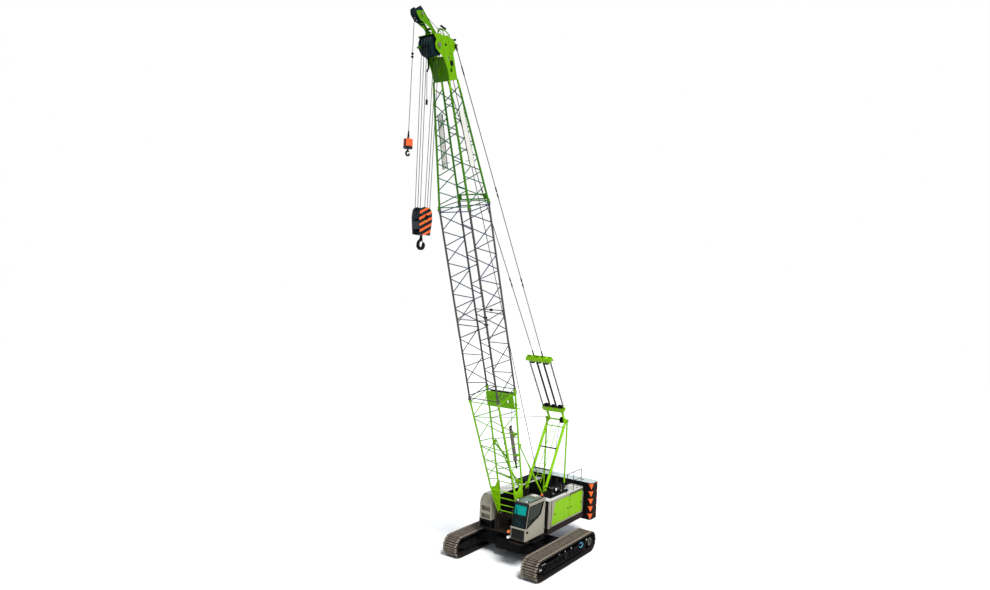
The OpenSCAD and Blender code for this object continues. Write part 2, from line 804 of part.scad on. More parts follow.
module door_right_front() {
    color(lime) scale([1, -1, 1]) side_door(front_door(door_gap), front_hinge_x);
}

module door_right_rear() {
    color(lime) scale([1, -1, 1]) side_door(rear_door(door_gap), rear_hinge_x);
}

module engine_block() {
    color(steel) translate([-2900, left_in + house_wall + 40, deck_top + house_wall + 2 * seat]) cube([1700, 560, 850]);
}

// Exhaust and air intake on the left house's roof, pipes run along it
module exhaust_unit() {
    mid = left_in + 330;
    z0 = house_top + seat;
    color(dark) {
        difference() {
            translate([-2150, left_in + 60, z0]) cube([1900, 540, 60]);
            for (i = [0:11]) translate([-2090 + i * 152, left_in + 100, z0 + 20]) cube([100, 460, 60]);
        }
        for (x = [-1950, -1500, -1050, -600]) translate([x - 15, mid - 150, z0 + 59]) cube([30, 300, 90]);
        rod([-2050, mid, z0 + 250], [-900, mid, z0 + 250], 300);
        rod([-900.5, mid, z0 + 250], [-780, mid, z0 + 250], 160);
        rod([-1250, mid, z0 + 390], [-1250, mid, z0 + 560], 120);
        rod([-700, mid + 20, z0 + 58], [-700, mid + 20, z0 + 400], 260);
        rod([-700, mid + 20, z0 + 399], [-700, mid + 20, z0 + 440], 180);
        for (y = [-200, -150, 190, 235]) rod([-2080, mid + y, z0 + 90], [-420, mid + y, z0 + 90], 46);
        rod([-420, mid - 200, z0 + 90], [-420, mid + 235, z0 + 90], 46);
        for (x = [-1750, -1150]) translate([x - 20, mid - 225, z0 + 59]) cube([40, 450, 40]);
    }
}

// Cab
function cab_side(g) = [
    [cab_back + g, cab_low + g, 20], [cab_front - g, cab_low + g, 60], [cab_front - g, cab_sill, 60],
    [cab_front - 250 - g, cab_top - g, 140], [cab_back + g, cab_top - g, 60]
];
function door_side(g) = [
    [cab_back + 60 + g, cab_low + 60 + g, 20], [cab_front - 62 - g, cab_low + 60 + g, 60],
    [cab_front - 62 - g, cab_sill, 40], [cab_front - 280 - g, cab_top - 110 - g, 60],
    [cab_back + 60 + g, cab_top - 110 - g, 40]
];
function window_side(g) = [
    [cab_front - 108 - g, cab_sill - 10 + g, 40], [cab_front - 318 - g, cab_top - 170 - g, 60],
    [cab_back + 150 + g, cab_top - 170 - g, 60], [cab_back + 420 + g, cab_top - 760 + g, 50]
];

module cab_shell() {
    color(steel) hinge_ears(cab_hinge_x, cab_out, cab_hinges);
    color(light_grey) difference() {
        slab_y(rounded(cab_side(0)), cab_in, cab_out);
        slab_y(rounded([for (p = cab_side(cab_wall)) [p[0], p[1], max(p[2] - cab_wall, 5)]]), cab_in + cab_wall, cab_out - cab_wall);
        slab_y(rounded(door_side(0)), cab_out - cab_wall - 1, cab_out + 1);
        slab_y(rounded(window_side(0)), cab_in - 1, cab_in + cab_wall + 1);
        translate([0, cab_in + screen_side, 0]) windscreen_cut(cab_out - cab_in - 2 * screen_side);
        translate([cab_back - 1, cab_in + 120, cab_top - 900]) cube([cab_wall + 2, cab_out - cab_in - 240, 650]);
        translate([cab_front - roof_window - 360, cab_in + 130, cab_top - cab_wall - 1])
            cube([roof_window, cab_out - cab_in - 260, cab_wall + 2]);
    }
}

// Opening in the raked front, w wide
module windscreen_cut(w) {
    slab_y([
        [cab_front - cab_wall - 60, screen_low], [cab_front + 30, screen_low],
        [cab_front - 190, screen_high], [cab_front - 250 - cab_wall - 60, screen_high]
    ], 0, w);
}

module cab_door() {
    color(light_grey) difference() {
        union() {
            slab_y(rounded(door_side(door_gap)), cab_out - cab_wall, cab_out);
            hinge_leaves(cab_hinge_x, cab_out, cab_hinges);
        }
        slab_y(rounded(window_side(0)), cab_out - cab_wall - 1, cab_out + 1);
    }
}

module cab_door_glass() {
    mid = cab_out - cab_wall / 2;
    color("#123035") slab_y(rounded(window_side(glass_gap)), mid - glass_t / 2, mid + glass_t / 2);
}

module cab_glass() {
    mid = cab_in + cab_wall / 2;
    g = glass_gap;
    color("#123035") {
        slab_y(rounded(window_side(g)), mid - glass_t / 2, mid + glass_t / 2);
        translate([cab_back + cab_wall / 2 - glass_t / 2, cab_in + 120 + g, cab_top - 900 + g])
            cube([glass_t, cab_out - cab_in - 240 - 2 * g, 650 - 2 * g]);
        translate([cab_front - roof_window - 360 + g, cab_in + 130 + g, cab_top - cab_wall / 2 - glass_t / 2])
            cube([roof_window - 2 * g, cab_out - cab_in - 260 - 2 * g, glass_t]);
        intersection() {
            translate([0, cab_in + screen_side + g, 0])
                slab_y([
                    [cab_front - 30, cab_sill], [cab_front - 30 + glass_t, cab_sill],
                    [cab_front - 280 + glass_t, cab_top], [cab_front - 280, cab_top]
                ], 0, cab_out - cab_in - 2 * (screen_side + g));
            translate([0, 0, screen_low + g]) cube([cab_front, cab_out, screen_high - screen_low - 2 * g]);
        }
    }
}

module cab_seat() {
    mid = (cab_in + cab_out) / 2;
    floor_z = cab_low + cab_wall + seat;
    color(dark) {
        translate([cab_back + 420, mid - 180, floor_z]) cube([360, 360, 330]);
        translate([cab_back + 380, mid - 240, floor_z + 329]) cube([480, 480, 130]);
        slab_y(rounded([
            [cab_back + 380, floor_z + 400, 20], [cab_back + 500, floor_z + 400, 20],
            [cab_back + 400, floor_z + 1150, 40], [cab_back + 300, floor_z + 1150, 40]
        ]), mid - 230, mid + 230);
        translate([cab_front - 560, mid - 220, floor_z]) cube([260, 440, 620]);
    }
}

// Gantry
module gantry_front_legs() {
    foot = [-gantry_x, 0, gantry_z];
    top = [-mast_x, 0, mast_z];
    length = norm(top - foot);
    dir = (top - foot) / length;
    lean = atan2(dir[2], -dir[0]);
    color(lime) {
        both_sides() {
            difference() {
                translate([0, gantry_y, 0]) {
                    rod(foot + dir * 240, foot + dir * (length - 300), leg_d);
                    translate(foot) rotate([0, lean - 180, 0]) {
                        translate([150, 0, 0]) cube([300, 60, 120], center = true);
                        bar_y(130, leg_boss);
                    }
                    rod(foot + dir * 250, foot + dir * 250 + [230, 0, 60], 110);
                    translate(top) rotate([0, lean - 180, 0]) {
                        translate([-200, 0, 0]) cube([400, 60, 130], center = true);
                        bar_y(190, 60);
                    }
                }
                translate([0, gantry_y, 0] + foot) bar_y(gantry_pin_d + run_fit, 200);
            }
        }
        for (t = [0.16, 0.24, 0.42])
            rod(foot + dir * length * t + [0, -gantry_y, 0], foot + dir * length * t + [leg_d / 2 + 110, -gantry_y, 30], 26);
        translate(top) bar_y(mast_pin_d, 2 * rear_leg_y + 100);
        for (y = guide_sheaves) translate(top + [0, y, 0]) bar_y(guide_sheave_d, 70);
        for (t = [0.29, 0.59, 0.9])
            rod(foot + dir * length * t + [0, -gantry_y, 0], foot + dir * length * t + [0, gantry_y, 0], 60);
        for (y = ladder_ys) rod(foot + dir * length * 0.1 + [0, y, 0], foot + dir * length * 0.93 + [0, y, 0], 30);
        for (i = [0:10]) {
            at = foot + dir * length * (0.13 + 0.0767 * i);
            rod(at + [0, ladder_ys[0], 0], at + [0, ladder_ys[1], 0], 22);
        }
    }
}

module gantry_rear_legs() {
    color(lime) both_sides() difference() {
        union() {
            rod([-mast_x, rear_leg_y, deck_z + 540 + seat], [-mast_x, rear_leg_y, mast_z - 60], rear_leg_d);
            translate([-mast_x, rear_leg_y, mast_z]) bar_y(170, 50);
            translate([-mast_x, rear_leg_y, mast_z - 90]) cube([110, 50, 160], center = true);
        }
        translate([-mast_x, rear_leg_y, mast_z]) bar_y(mast_pin_d + run_fit, 200);
    }
}

module roof_fittings() {
    exhaust_unit();
    color(dark) {
        for (x = [-1700, -2430, -3300])
            rod([x, house_half - 60, house_top + seat], [x, house_half - 60, house_top + 980], 34);
        rod([-3300, house_half - 60, house_top + 980], [-1700, house_half - 60, house_top + 980], 34);
        rod([-3300, house_half - 60, house_top + 520], [-1700, house_half - 60, house_top + 520], 28);
    }
}

// Winches: place along X, height, drum width, rope radius
winches = [[350, 1870, 700, 290], [-420, 1870, 700, 290], [-2350, 1870, 700, 270]];

module winch_frames() {
    color(dark)
        for (w = winches)
            both_sides() difference() {
                slab_y([
                    [w[0] - 330, deck_top + seat], [w[0] + 330, deck_top + seat],
                    [w[0] + 130, w[1] + 130], [w[0] - 130, w[1] + 130]
                ], w[2] / 2 + 12, w[2] / 2 + 42);
                translate([w[0], w[2] / 2, w[1]]) bar_y(winch_shaft_d + run_fit, 200);
            }
}

module drum(w) {
    color(steel) translate([w[0], 0, w[1]]) {
        bar_y(winch_shaft_d, w[2] + 90);
        bar_y(2 * w[3] - 80, w[2] - 60);
        both_sides() translate([0, w[2] / 2 - 20, 0]) bar_y(2 * w[3] + 60, 24);
        bar_y(2 * w[3], w[2] - 200);
    }
}

module drum_main() {
    drum(winches[0]);
}

module drum_second() {
    drum(winches[1]);
}

module drum_luffing() {
    drum(winches[2]);
}

// Counterweight
module counterweight() {
    seam = 18;
    color(dark)
        for (i = [0:weight_n - 1])
            translate([0, 0, weight_low + i * weight_h])
                difference() {
                    union() {
                        translate([0, 0, seam]) linear_extrude(weight_h - joint_gap - seam) polygon(slab_outline(0));
                        linear_extrude(seam + 1) polygon(slab_outline(seam));
                    }
                    for (side = [-1, 1])
                        translate([-weight_front - weight_t / 2, side * weight_half * 0.62, weight_h - 90]) cylinder(d = 150, h = 100);
                    for (side = [-1, 1])
                        translate([-weight_front - weight_t / 2 - 45, side * weight_half * 0.3 - 45, weight_h - 70]) cube([90, 90, 80]);
                }
}

// Outline of a slab seen from above, drawn in by g
function slab_outline(g) =
    let (
        c = weight_chamfer,
        x0 = -weight_front - weight_t + g,
        x1 = -weight_front - g,
        w = weight_half - g
    )
    [[x1, -w + c], [x1, w - c], [x1 - c, w], [x0 + c, w], [x0, w - c], [x0, -w + c], [x0 + c, -w], [x1 - c, -w]];

// Boom
function half_w(s) =
    s < base_end ? mix(foot_half, boom_w / 2, s / base_end)
    : s < insert_end ? boom_w / 2
    : mix(boom_w / 2, head_w / 2, (s - insert_end) / top_len);
function half_d(s) =
    s < base_end ? mix(foot_d / 2, boom_d / 2, (s - foot_len) / (base_end - foot_len))
    : s < insert_end ? boom_d / 2
    : mix(boom_d / 2, head_d / 2, (s - insert_end) / top_len);
// Chords in order round the boom: right front, left front, left back, right back
corner_signs = [[-1, -1], [1, -1], [1, 1], [-1, 1]];
function chord(i, s) = let (c = corner_signs[i % 4]) [s, c[0] * half_w(s), c[1] * half_d(s)];

module chords(s0, s1) {
    for (i = [0:3]) rod(chord(i, s0), chord(i, s1 - 0.001), chord_d);
}

module lacing(s0, s1, panels) {
    step = (s1 - s0) / panels;
    for (k = [0:panels - 1])
        for (i = [0:3]) {
            from = k % 2 == 0 ? i : i + 1;
            to = k % 2 == 0 ? i + 1 : i;
            rod(chord(from, s0 + k * step + brace_off), chord(to, s0 + (k + 1) * step - brace_off), brace_d);
        }
}

module end_square(s) {
    for (i = [0:3]) rod(chord(i, s), chord(i + 1, s), brace_d);
}

// Pin lugs where two sections meet, side is -1 below the joint and 1 above it
module section_lugs(s, side) {
    for (i = [0:3]) {
        c = chord(i, s);
        rod([s + side * joint_gap / 2, c[1], c[2]], [s + side * 150, c[1], c[2]], chord_d + 34);
    }
}

module foot_plates() {
    both_sides() difference() {
        slab_y([
            [-60, -75], [60, -75], [foot_len - 350, -foot_d / 2 - 20], [foot_len + 40, -foot_d / 2 - 45],
            [foot_len + 40, -foot_d / 2 + 60], [foot_len - 120, 0],
            [foot_len + 40, foot_d / 2 - 60], [foot_len + 40, foot_d / 2 + 45], [foot_len - 350, foot_d / 2 + 20],
            [60, 75], [-60, 75]
        ], foot_half - boss_w / 2, foot_half + boss_w / 2);
        translate([0, foot_half, 0]) bar_y(foot_pin_d + run_fit, 200);
        translate([740, foot_half, 0]) bar_y(110, 200);
    }
    both_sides() difference() {
        translate([0, foot_half, 0]) bar_y(220, boss_w);
        translate([0, foot_half, 0]) bar_y(foot_pin_d + run_fit, 200);
    }
}

// Lacing of the base section: chord and place of one end, chord and place of the other end, number of tubes
// Chords: 0 right front, 1 left front, 2 left back, 3 right back. A place is a share of the section's length
base_lacing = [
    [3, 0.938, 0, 0.869, 1], [0, 0.858, 3, 0.760, 1], [3, 0.742, 0, 0.678, 1], [0, 0.655, 3, 0.594, 1],
    [3, 0.557, 0, 0.508, 1], [0, 0.480, 3, 0.409, 1], [3, 0.372, 0, 0.354, 1], [0, 0.329, 3, 0.262, 1],
    [3, 0.754, 2, 0.843, 1], [3, 0.735, 2, 0.658, 1], [3, 0.591, 2, 0.640, 1], [3, 0.388, 2, 0.455, 1],
    [3, 0.342, 2, 0.408, 1], [3, 0.323, 2, 0.282, 2], [3, 0.246, 2, 0.248, 1],
    [1, 0.791, 2, 0.830, 1], [1, 0.757, 2, 0.671, 1], [1, 0.609, 2, 0.600, 1], [1, 0.590, 2, 0.490, 1],
    [1, 0.431, 2, 0.455, 1], [1, 0.422, 2, 0.280, 1],
    [0, 0.858, 1, 0.957, 1], [0, 0.843, 1, 0.757, 1], [0, 0.618, 1, 0.600, 1], [0, 0.610, 1, 0.542, 1],
    [0, 0.508, 1, 0.438, 1], [0, 0.415, 1, 0.375, 1], [3, 0.926, 1, 0.970, 1], [3, 0.575, 1, 0.554, 2]
];

module boom_base() {
    color(lime) at_boom() {
        foot_plates();
        chords(foot_len - 60, base_end - 40);
        for (t = base_lacing) {
            a = chord(t[0], t[1] * base_end);
            b = chord(t[2], t[3] * base_end);
            for (k = [0:t[4] - 1]) rod(a - [k * 90, 0, 0], b - [k * 90, 0, 0], brace_d);
        }
        end_square(base_end - end_frame / 2);
        section_lugs(base_end, -1);
        roller_box();
        stop_lugs();
        spring_cylinder();
        for (s = [190, 590, 1050, 1500])
            rod([s, -foot_half, -s * 0.18 - 20], [s, foot_half, -s * 0.18 - 20], brace_d + 8);
    }
}

// Spring cylinder inside the base's left back chord, held by two plates
module spring_cylinder() {
    translate([spring_s, spring_y, spring_h]) rotate([0, 90, 0]) cylinder(d = spring_d, h = spring_len);
    translate([spring_s - 420, spring_y, spring_h]) rotate([0, 90, 0]) cylinder(d = spring_d * 0.7, h = 421);
    for (s = [spring_s + 250, spring_s + spring_len - 300])
        translate([s - 10, spring_y - 40, spring_h - 40])
            cube([20, half_w(s) - spring_y + 40, half_d(s) - spring_h + 40]);
}

module roller_box() {
    h = half_d(box_s);
    w = half_w(box_s);
    translate([box_s, -w, h - 130]) {
        difference() {
            cube([box_len, 2 * w, 16]);
            translate([box_len / 2, 2 * w - 300, -1]) cylinder(d = 150, h = 20);
        }
        cube([16, 2 * w, 200]);
        translate([box_len - 16, 0, 0]) cube([16, 2 * w, 160]);
    }
    for (i = [-2:2])
        translate([box_s + box_len - 150, i * box_roller - 10, h - 120]) cube([150, 20, roller_h + 160 - h]);
    for (i = [-1.5:1:1.5]) translate([box_s, i * box_roller - 8, h - 120]) cube([box_len, 16, 90]);
    for (side = [-1, 1]) translate([box_s + 120, side * (w + 20) - 60, h - 30]) cube([160, 120, 60]);
}

module stop_lugs() {
    both_sides()
        translate([stop_s - 60, boss_y + 35, half_d(stop_s) - 10]) cube([120, half_w(stop_s) - boss_y - 20, stop_off + 60]);
}

module boom_insert() {
    color(chord_grey) at_boom() {
        chords(base_end + joint_gap / 2, insert_end - joint_gap / 2);
        lacing(base_end + end_frame, insert_end - end_frame, insert_panels);
        end_square(base_end + end_frame / 2);
        end_square(insert_end - end_frame / 2);
        section_lugs(base_end, 1);
        section_lugs(insert_end, -1);
    }
}

function head_outline() = rounded([
    [lattice_end - 20, -head_d / 2 + 10, 0], [lattice_end + 380, -head_d / 2 + 10, 300],
    [head_s - 500, -head_n + 215, 200], [head_s - 370, -head_n + 70, 200], [head_s - 130, -head_n - 190, 60],
    [head_s + 50, -head_n - 200, 60], [head_s + 200, -head_n - 80, 40], [head_s + 370, -head_n + 190, 60],
    [head_s + 320, 90, 60], [lug_s + 130, lug_n + 60, 60], [lug_s + 30, lug_n + 115, 50],
    [lug_s - 150, lug_n + 20, 80], [lug_s - 270, head_d / 2 - 30, 120], [lattice_end - 20, head_d / 2 - 10, 0]
]);

module boom_top() {
    hy = head_w / 2;
    face = hy + head_plate / 2;
    color(lime) at_boom() {
        chords(insert_end + 40, lattice_end);
        lacing(insert_end + end_frame, lattice_end - 250, top_panels);
        end_square(insert_end + end_frame / 2);
        section_lugs(insert_end, 1);
        rear_ladder();
        difference() {
            union() {
                both_sides() {
                    slab_y(head_outline(), hy - head_plate / 2, face);
                    head_ribs(face);
                }
                head_box(hy);
            }
            for (h = [[head_s - 20, -170, 130], [head_s - 540, -110, 120], [lattice_end + 370, -50, 180]])
                translate([h[0], 0, h[1]]) bar_y(h[2], head_w + 200);
            translate([head_s, 0, -head_n]) bar_y(head_pin_d + run_fit, head_w + 200);
            translate([lug_s, 0, lug_n]) bar_y(60, head_w + 200);
        }
    }
}

// Stiffening bars standing out from a head plate
module head_ribs(face) {
    lines = [
        [[head_s + 340, -420], [head_s - 400, -380]], [[head_s - 400, -380], [lattice_end + 120, -head_d / 2 + 60]],
        [[head_s + 300, 20], [head_s - 280, 90]], [[head_s - 280, 90], [lattice_end, head_d / 2 - 60]],
        [[head_s - 340, -60], [head_s - 340, 90]]
    ];
    for (l = lines) slab_y(strip(l[0], l[1], 22), face - 1, face + 16);
    translate([head_s, face + 9, -head_n]) bar_y(head_pin_d + 110, 20);
    translate([lug_s, face + 9, lug_n]) bar_y(150, 20);
}

// Plates between the two head plates
module head_box(hy) {
    low = -head_d / 2 + 10;
    difference() {
        translate([lattice_end - 20, -hy, low]) cube([500, head_w, 16]);
        translate([lattice_end + 330, 0, low - 1]) cylinder(d = 240, h = 20);
        translate([lattice_end + 330, -120, low - 1]) cube([110, 240, 20]);
    }
    difference() {
        translate([lattice_end + 479, -hy, low]) cube([head_s - 440 - lattice_end - 479, head_w, 16]);
        translate([head_s - 610, -110, low - 10]) cylinder(d = 130, h = 40);
    }
    translate([lattice_end - 20, -hy, head_d / 2 - 30]) cube([520, head_w, 16]);
    translate([head_s - 300, -hy, 60]) cube([560, head_w, 16]);
    translate([head_s + 320, -hy, -380]) cube([20, head_w, 440]);
    translate([head_s + 320, -hy, -380]) cube([cover_s - head_s - 320, head_w, 20]);
    translate([cover_s - 16, -hy, -head_n - 190]) cube([16, head_w, head_n + 190 - 360]);
    for (y = [-1, 1] * (hy - 8))
        slab_y([
            [head_s + 190, -head_n - 60], [head_s + 330, -361], [cover_s - 1, -361], [cover_s - 1, -head_n - 190]
        ], y - 8, y + 8);
    for (y = [-1, 1] * (hy - 90)) rope_arch(y);
}

// Bent guard above the cover
module rope_arch(y) {
    bend = [[head_s + 300, -30], [head_s + 480, -70], [head_s + 610, -190], [head_s + 620, -380], [cover_s - 8, -470]];
    for (i = [0:3]) slab_y(strip(bend[i], bend[i + 1] + (bend[i + 1] - bend[i]) * 0.06, 34), y - 10, y + 10);
}

// Two cross tubes with end plates on the back of the top section, just above its joint
module rear_ladder() {
    for (s = [insert_end + 170, insert_end + 380]) rod(chord(2, s), chord(3, s), 60);
    for (side = [-1, 1])
        translate([insert_end + 150, side * (half_w(insert_end + 280) - 100) - 80, half_d(insert_end + 280) - 8])
            cube([250, 160, 16]);
}

module sheave(d, w) {
    difference() {
        bar_y(d, w);
        rotate([90, 0, 0])
            rotate_extrude()
                polygon([[d / 2 - rope_d * 1.4, 0], [d / 2 + 1, -w * 0.36], [d / 2 + 1, w * 0.36]]);
        both_sides() translate([0, w / 2, 0]) difference() {
            bar_y(d - 6 * rope_d, w / 2);
            bar_y(190, w);
        }
    }
}

module boom_sheaves() {
    color(dark) at_boom() {
        for (i = [0:head_sheaves_n - 1])
            translate([head_s, (i - (head_sheaves_n - 1) / 2) * sheave_pitch, -head_n]) sheave(head_sheave_d, head_sheave_w);
        translate([head_s, 0, -head_n]) bar_y(head_pin_d, head_w + 90);
        translate([tip_s, 0, -tip_n]) {
            sheave(tip_sheave_d, tip_sheave_w);
            bar_y(tip_pin_d, 2 * tip_arm_y + 90);
        }
        for (i = [-1.5:1:1.5])
            translate([box_s + box_len - 75, i * box_roller, roller_h]) bar_y(110, box_roller - 20 - 2 * seat);
    }
}

module tip_frame() {
    root = cover_s + seat;
    plate = 20;
    color(lime) at_boom() difference() {
        union() {
            both_sides() {
                slab_y(rounded([
                    [root, -350, 0], [tip_s + 235, -tip_n + 45, 0], [tip_s + 300, -tip_n + 5, 20],
                    [tip_s + 210, -tip_n - 260, 90], [tip_s + 10, -tip_n - 290, 90], [tip_s - 240, -tip_n - 120, 90],
                    [tip_s - 320, -tip_n + 70, 60], [root + 210, -650, 200], [root, -600, 0]
                ]), tip_arm_y - plate / 2, tip_arm_y + plate / 2);
                slab_y(strip([root + 14, -366], [tip_s + 235, -tip_n + 37], 16), tip_arm_y - 60, tip_arm_y + 30);
            }
            translate([root, -tip_arm_y - 60, -640]) cube([18, 2 * tip_arm_y + 120, 320]);
            slab_y(strip([root + 190, -500], [root + 240, -660], 30), -tip_arm_y, tip_arm_y);
            translate([tip_s - 330, 0, -tip_n + 150]) bar_y(60, 2 * tip_arm_y);
        }
        translate([tip_s, 0, -tip_n]) bar_y(tip_pin_d + run_fit, 600);
        translate([tip_s - 90, 0, -tip_n - 80]) bar_y(60, 600);
        translate([tip_s - 210, 0, -tip_n + 10]) bar_y(50, 600);
    }
}

// Backstops
stop_top = boom_point(stop_s, 0, half_d(stop_s) + stop_off);
stop_foot = [-stop_x, 0, stop_z];
stop_dir = (stop_top - stop_foot) / norm(stop_top - stop_foot);
stop_len = norm(stop_top - stop_foot);

module backstop_tubes() {
    color(lime)
        both_sides()
            translate([0, boss_y, 0])
                difference() {
                    union() {
                        rod(stop_foot + stop_dir * (stop_ear + 55), stop_foot + stop_dir * (stop_len * 0.62), stop_d);
                        translate(stop_foot) rotate([0, -atan2(stop_dir[2], stop_dir[0]), 0])
                            translate([0, -boss_w / 2, -35]) cube([stop_ear + 120, boss_w, 70]);
                        translate(stop_foot) bar_y(120, boss_w);
                    }
                    rod(stop_foot + stop_dir * 400, stop_foot + stop_dir * (stop_len * 0.56), stop_rod_d + 10);
                    rod(stop_foot + stop_dir * 400, stop_foot + stop_dir * stop_len, stop_rod_d + run_fit);
                    translate(stop_foot) bar_y(stop_pin_d + run_fit, 200);
                }
}

module backstop_rods() {
    color(lime) both_sides() translate([0, boss_y, 0]) {
        rod(stop_foot + stop_dir * 800, stop_top, stop_rod_d);
        translate(stop_top) bar_y(110, 50);
    }
}

// Stays

// Sheaves of a spreader: place across, diameter
spread_sheaves = [[-420, 400], [0, 340], [420, 400]];
rope_planes = [-50, 0, 50];
pendant_y = 262;

// Two plates with lobes round the sheaves, closed at the ends. dir is 1 when the ropes leave upwards
module spreader_frame(x, dir, width) {
    color(lime) {
        for (z = [-1, 1])
            translate([x, 0, z * 90 - 10])
                linear_extrude(20)
                    union() {
                        polygon(rounded([
                            [-dir * spread_len / 2, -width / 2 + 70, 60], [dir * 70, -width / 2, 30],
                            [dir * 90, -width / 2 + 60, 30], [dir * 90, width / 2 - 60, 30],
                            [dir * 70, width / 2, 30], [-dir * spread_len / 2, width / 2 - 70, 60]
                        ]));
                        for (s = spread_sheaves) translate([dir * 50, s[0]]) circle(d = s[1] - 110);
                    }
        for (y = [-1, 1] * (width / 2 - 90)) translate([x - dir * 70, y, 0]) cube([spread_len - 190, 20, 162], center = true);
    }
    color(dark)
        for (s = spread_sheaves)
            translate([x + dir * 60, s[0], 0]) cylinder(d = s[1], h = 160 - 2 * seat, center = true);
}

module lower_spreader() {
    at_stays() {
        spreader_frame(spread_low, 1, spread_low_w);
        color(lime) both_sides() difference() {
            union() {
                slab_y([
                    [0, -80], [spread_low, -95], [spread_low, 95], [0, 80]
                ], gantry_y - 95, gantry_y - 60);
                translate([0, gantry_y - 77.5, 0]) bar_y(170, 35);
            }
            translate([0, gantry_y, 0]) bar_y(mast_pin_d + run_fit, 400);
            translate([spread_low + 60, gantry_y - 120, 0]) cylinder(d = spread_sheaves[2][1] + 20, h = 161, center = true);
        }
    }
}

module luffing_ropes() {
    color(dark)
        at_stays()
            for (s = spread_sheaves)
                for (side = [-1, 1])
                    for (z = rope_planes) {
                        y = s[0] + side * (s[1] / 2 + luff_rope_d / 2 + seat);
                        rod([spread_low + 60, y, z], [spread_high - 60, y, z], luff_rope_d);
                    }
}

module upper_spreader() {
    at_stays() {
        spreader_frame(spread_high, -1, spread_high_w);
        color(lime)
            both_sides()
                translate([spread_high + spread_len / 2 - 60, pendant_y - 20, 0])
                    difference() {
                        translate([0, 0, -20]) cube([100, 40, 101]);
                        translate([60, 20, 30]) bar_y(40, 100);
                    }
    }
}

module pendants() {
    color(dark) at_stays() both_sides() {
        start = [spread_high + spread_len / 2 + 40 + seat, pendant_y, 0];
        end = [stay_len - 200, pendant_end_y, 0];
        rod(start, end, pendant_d);
        translate([stay_len - 90, pendant_end_y, 0]) cube([260, 30, 90], center = true);
    }
}

// Hooks
module hook_ropes() {
    top = boom_point(head_s, 0, -head_n);
    color(dark)
        for (x = [-1, 1])
            for (i = [-1:1:1])
                rod(
                    top + [x * groove_r(head_sheave_d, head_sheave_w), i * sheave_pitch, 0],
                    block_pin + [x * groove_r(block_sheave_d, block_sheave_w), i * sheave_pitch, 0], rope_d
                );
}

module hook_block() {
    color(dark) translate(block_pin) {
        both_sides() {
            slab_y(block_outline(), block_w / 2 - 30, block_w / 2);
            translate([0, block_w / 2 + 9, 0]) bar_y(170, 20);
        }
        for (i = [-1:1:1]) translate([0, i * sheave_pitch, 0]) sheave(block_sheave_d, block_sheave_w);
        bar_y(110, block_w - 50);
        translate([0, 0, -620]) cube([260, block_w - 50, 140], center = true);
        for (x = [-1, 1])
            translate([x * (block_l / 2 - 45), 0, -360]) rotate([0, x * 4, 0]) cube([16, block_w - 50, 300], center = true);
    }
}

function block_outline() = rounded([
    [-block_l / 2 + 90, -720, 60], [block_l / 2 - 90, -720, 60], [block_l / 2, -60, 220],
    [block_l / 2 - 40, 300, 220], [block_l / 2 - 260, 390, 140], [-block_l / 2 + 260, 390, 140],
    [-block_l / 2 + 40, 300, 220], [-block_l / 2, -60, 220]
]);

// Outline of a crane hook, its seat's centre at 0, 0, with a seat of radius r
function hook_outline(r) = concat(
    [for (a = [100:-14.5:-190]) r * [cos(a), sin(a)]],
    [[-r * 1.12, r * 0.62], [-r * 1.38, r * 0.72], [-r * 1.62, r * 0.3]],
    [for (a = [190:15:340]) r * 1.85 * [cos(a), sin(a)]],
    [[r * 1.62, r * 0.35], [r * 1.25, r * 1.1], [r * 0.46, r * 1.6], [r * 0.42, r * 1.95], [-r * 0.42, r * 1.95],
    [-r * 0.36, r * 1.3]]
);

module main_hook() {
    r = 125;
    color(dark) translate(block_pin + [0, 0, -690 - seat]) {
        translate([0, 0, -185]) cylinder(d = 110, h = 185);
        translate([0, 0, -400]) slab_y(hook_outline(r), -48, 48);
        translate([0, 0, -400]) slab_y(strip([-r * 1.25, r * 0.6], [-r * 0.3, r * 1.45], 20), -15, 15);
    }
}

module ball_rope() {
    top = boom_point(tip_s, 0, -tip_n);
    color(dark) rod(top + [groove_r(tip_sheave_d, tip_sheave_w), 0, 0], ball_pin + [0, 0, ball_d / 2 + 101 + seat], rope_d);
}

module ball_hook() {
    color(dark) translate(ball_pin) {
        translate([0, 0, -ball_d / 2]) cylinder(d = ball_d, h = ball_d);
        translate([0, 0, ball_d / 2 - 1]) cylinder(d = 90, h = 102);
        translate([0, 0, -ball_d / 2 - 100]) cylinder(d = 70, h = 101);
        translate([0, 0, -ball_d / 2 - 190])
            rotate([90, 0, 0])
                difference() {
                    cylinder(d = 230, h = 55, center = true);
                    cylinder(d = 120, h = 60, center = true);
                    translate([-150, 10, -30]) cube([120, 60, 60]);
                }
    }
}

car_body();
cross_beams();
side_frame_left();
side_frame_right();
track_left();
track_right();
track_rollers();
idler_wheels();
drive_wheels();
slew_ring_fixed();
deck_frame();
hinge_pins();
house_left();
house_right();
door_left_front();
door_left_rear();
door_right_front();
door_right_rear();
engine_block();
counterweight();
roof_fittings();
cab_shell();
cab_door();
cab_glass();
cab_door_glass();
cab_seat();
gantry_front_legs();
gantry_rear_legs();
winch_frames();
drum_main();
drum_second();
drum_luffing();
boom_base();
boom_insert();
boom_top();
boom_sheaves();
tip_frame();
backstop_tubes();
backstop_rods();
lower_spreader();
luffing_ropes();
upper_spreader();
pendants();
hook_ropes();
hook_block();
main_hook();
ball_rope();
ball_hook();
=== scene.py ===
import bpy
import bmesh
import math
from mathutils import Matrix, Vector


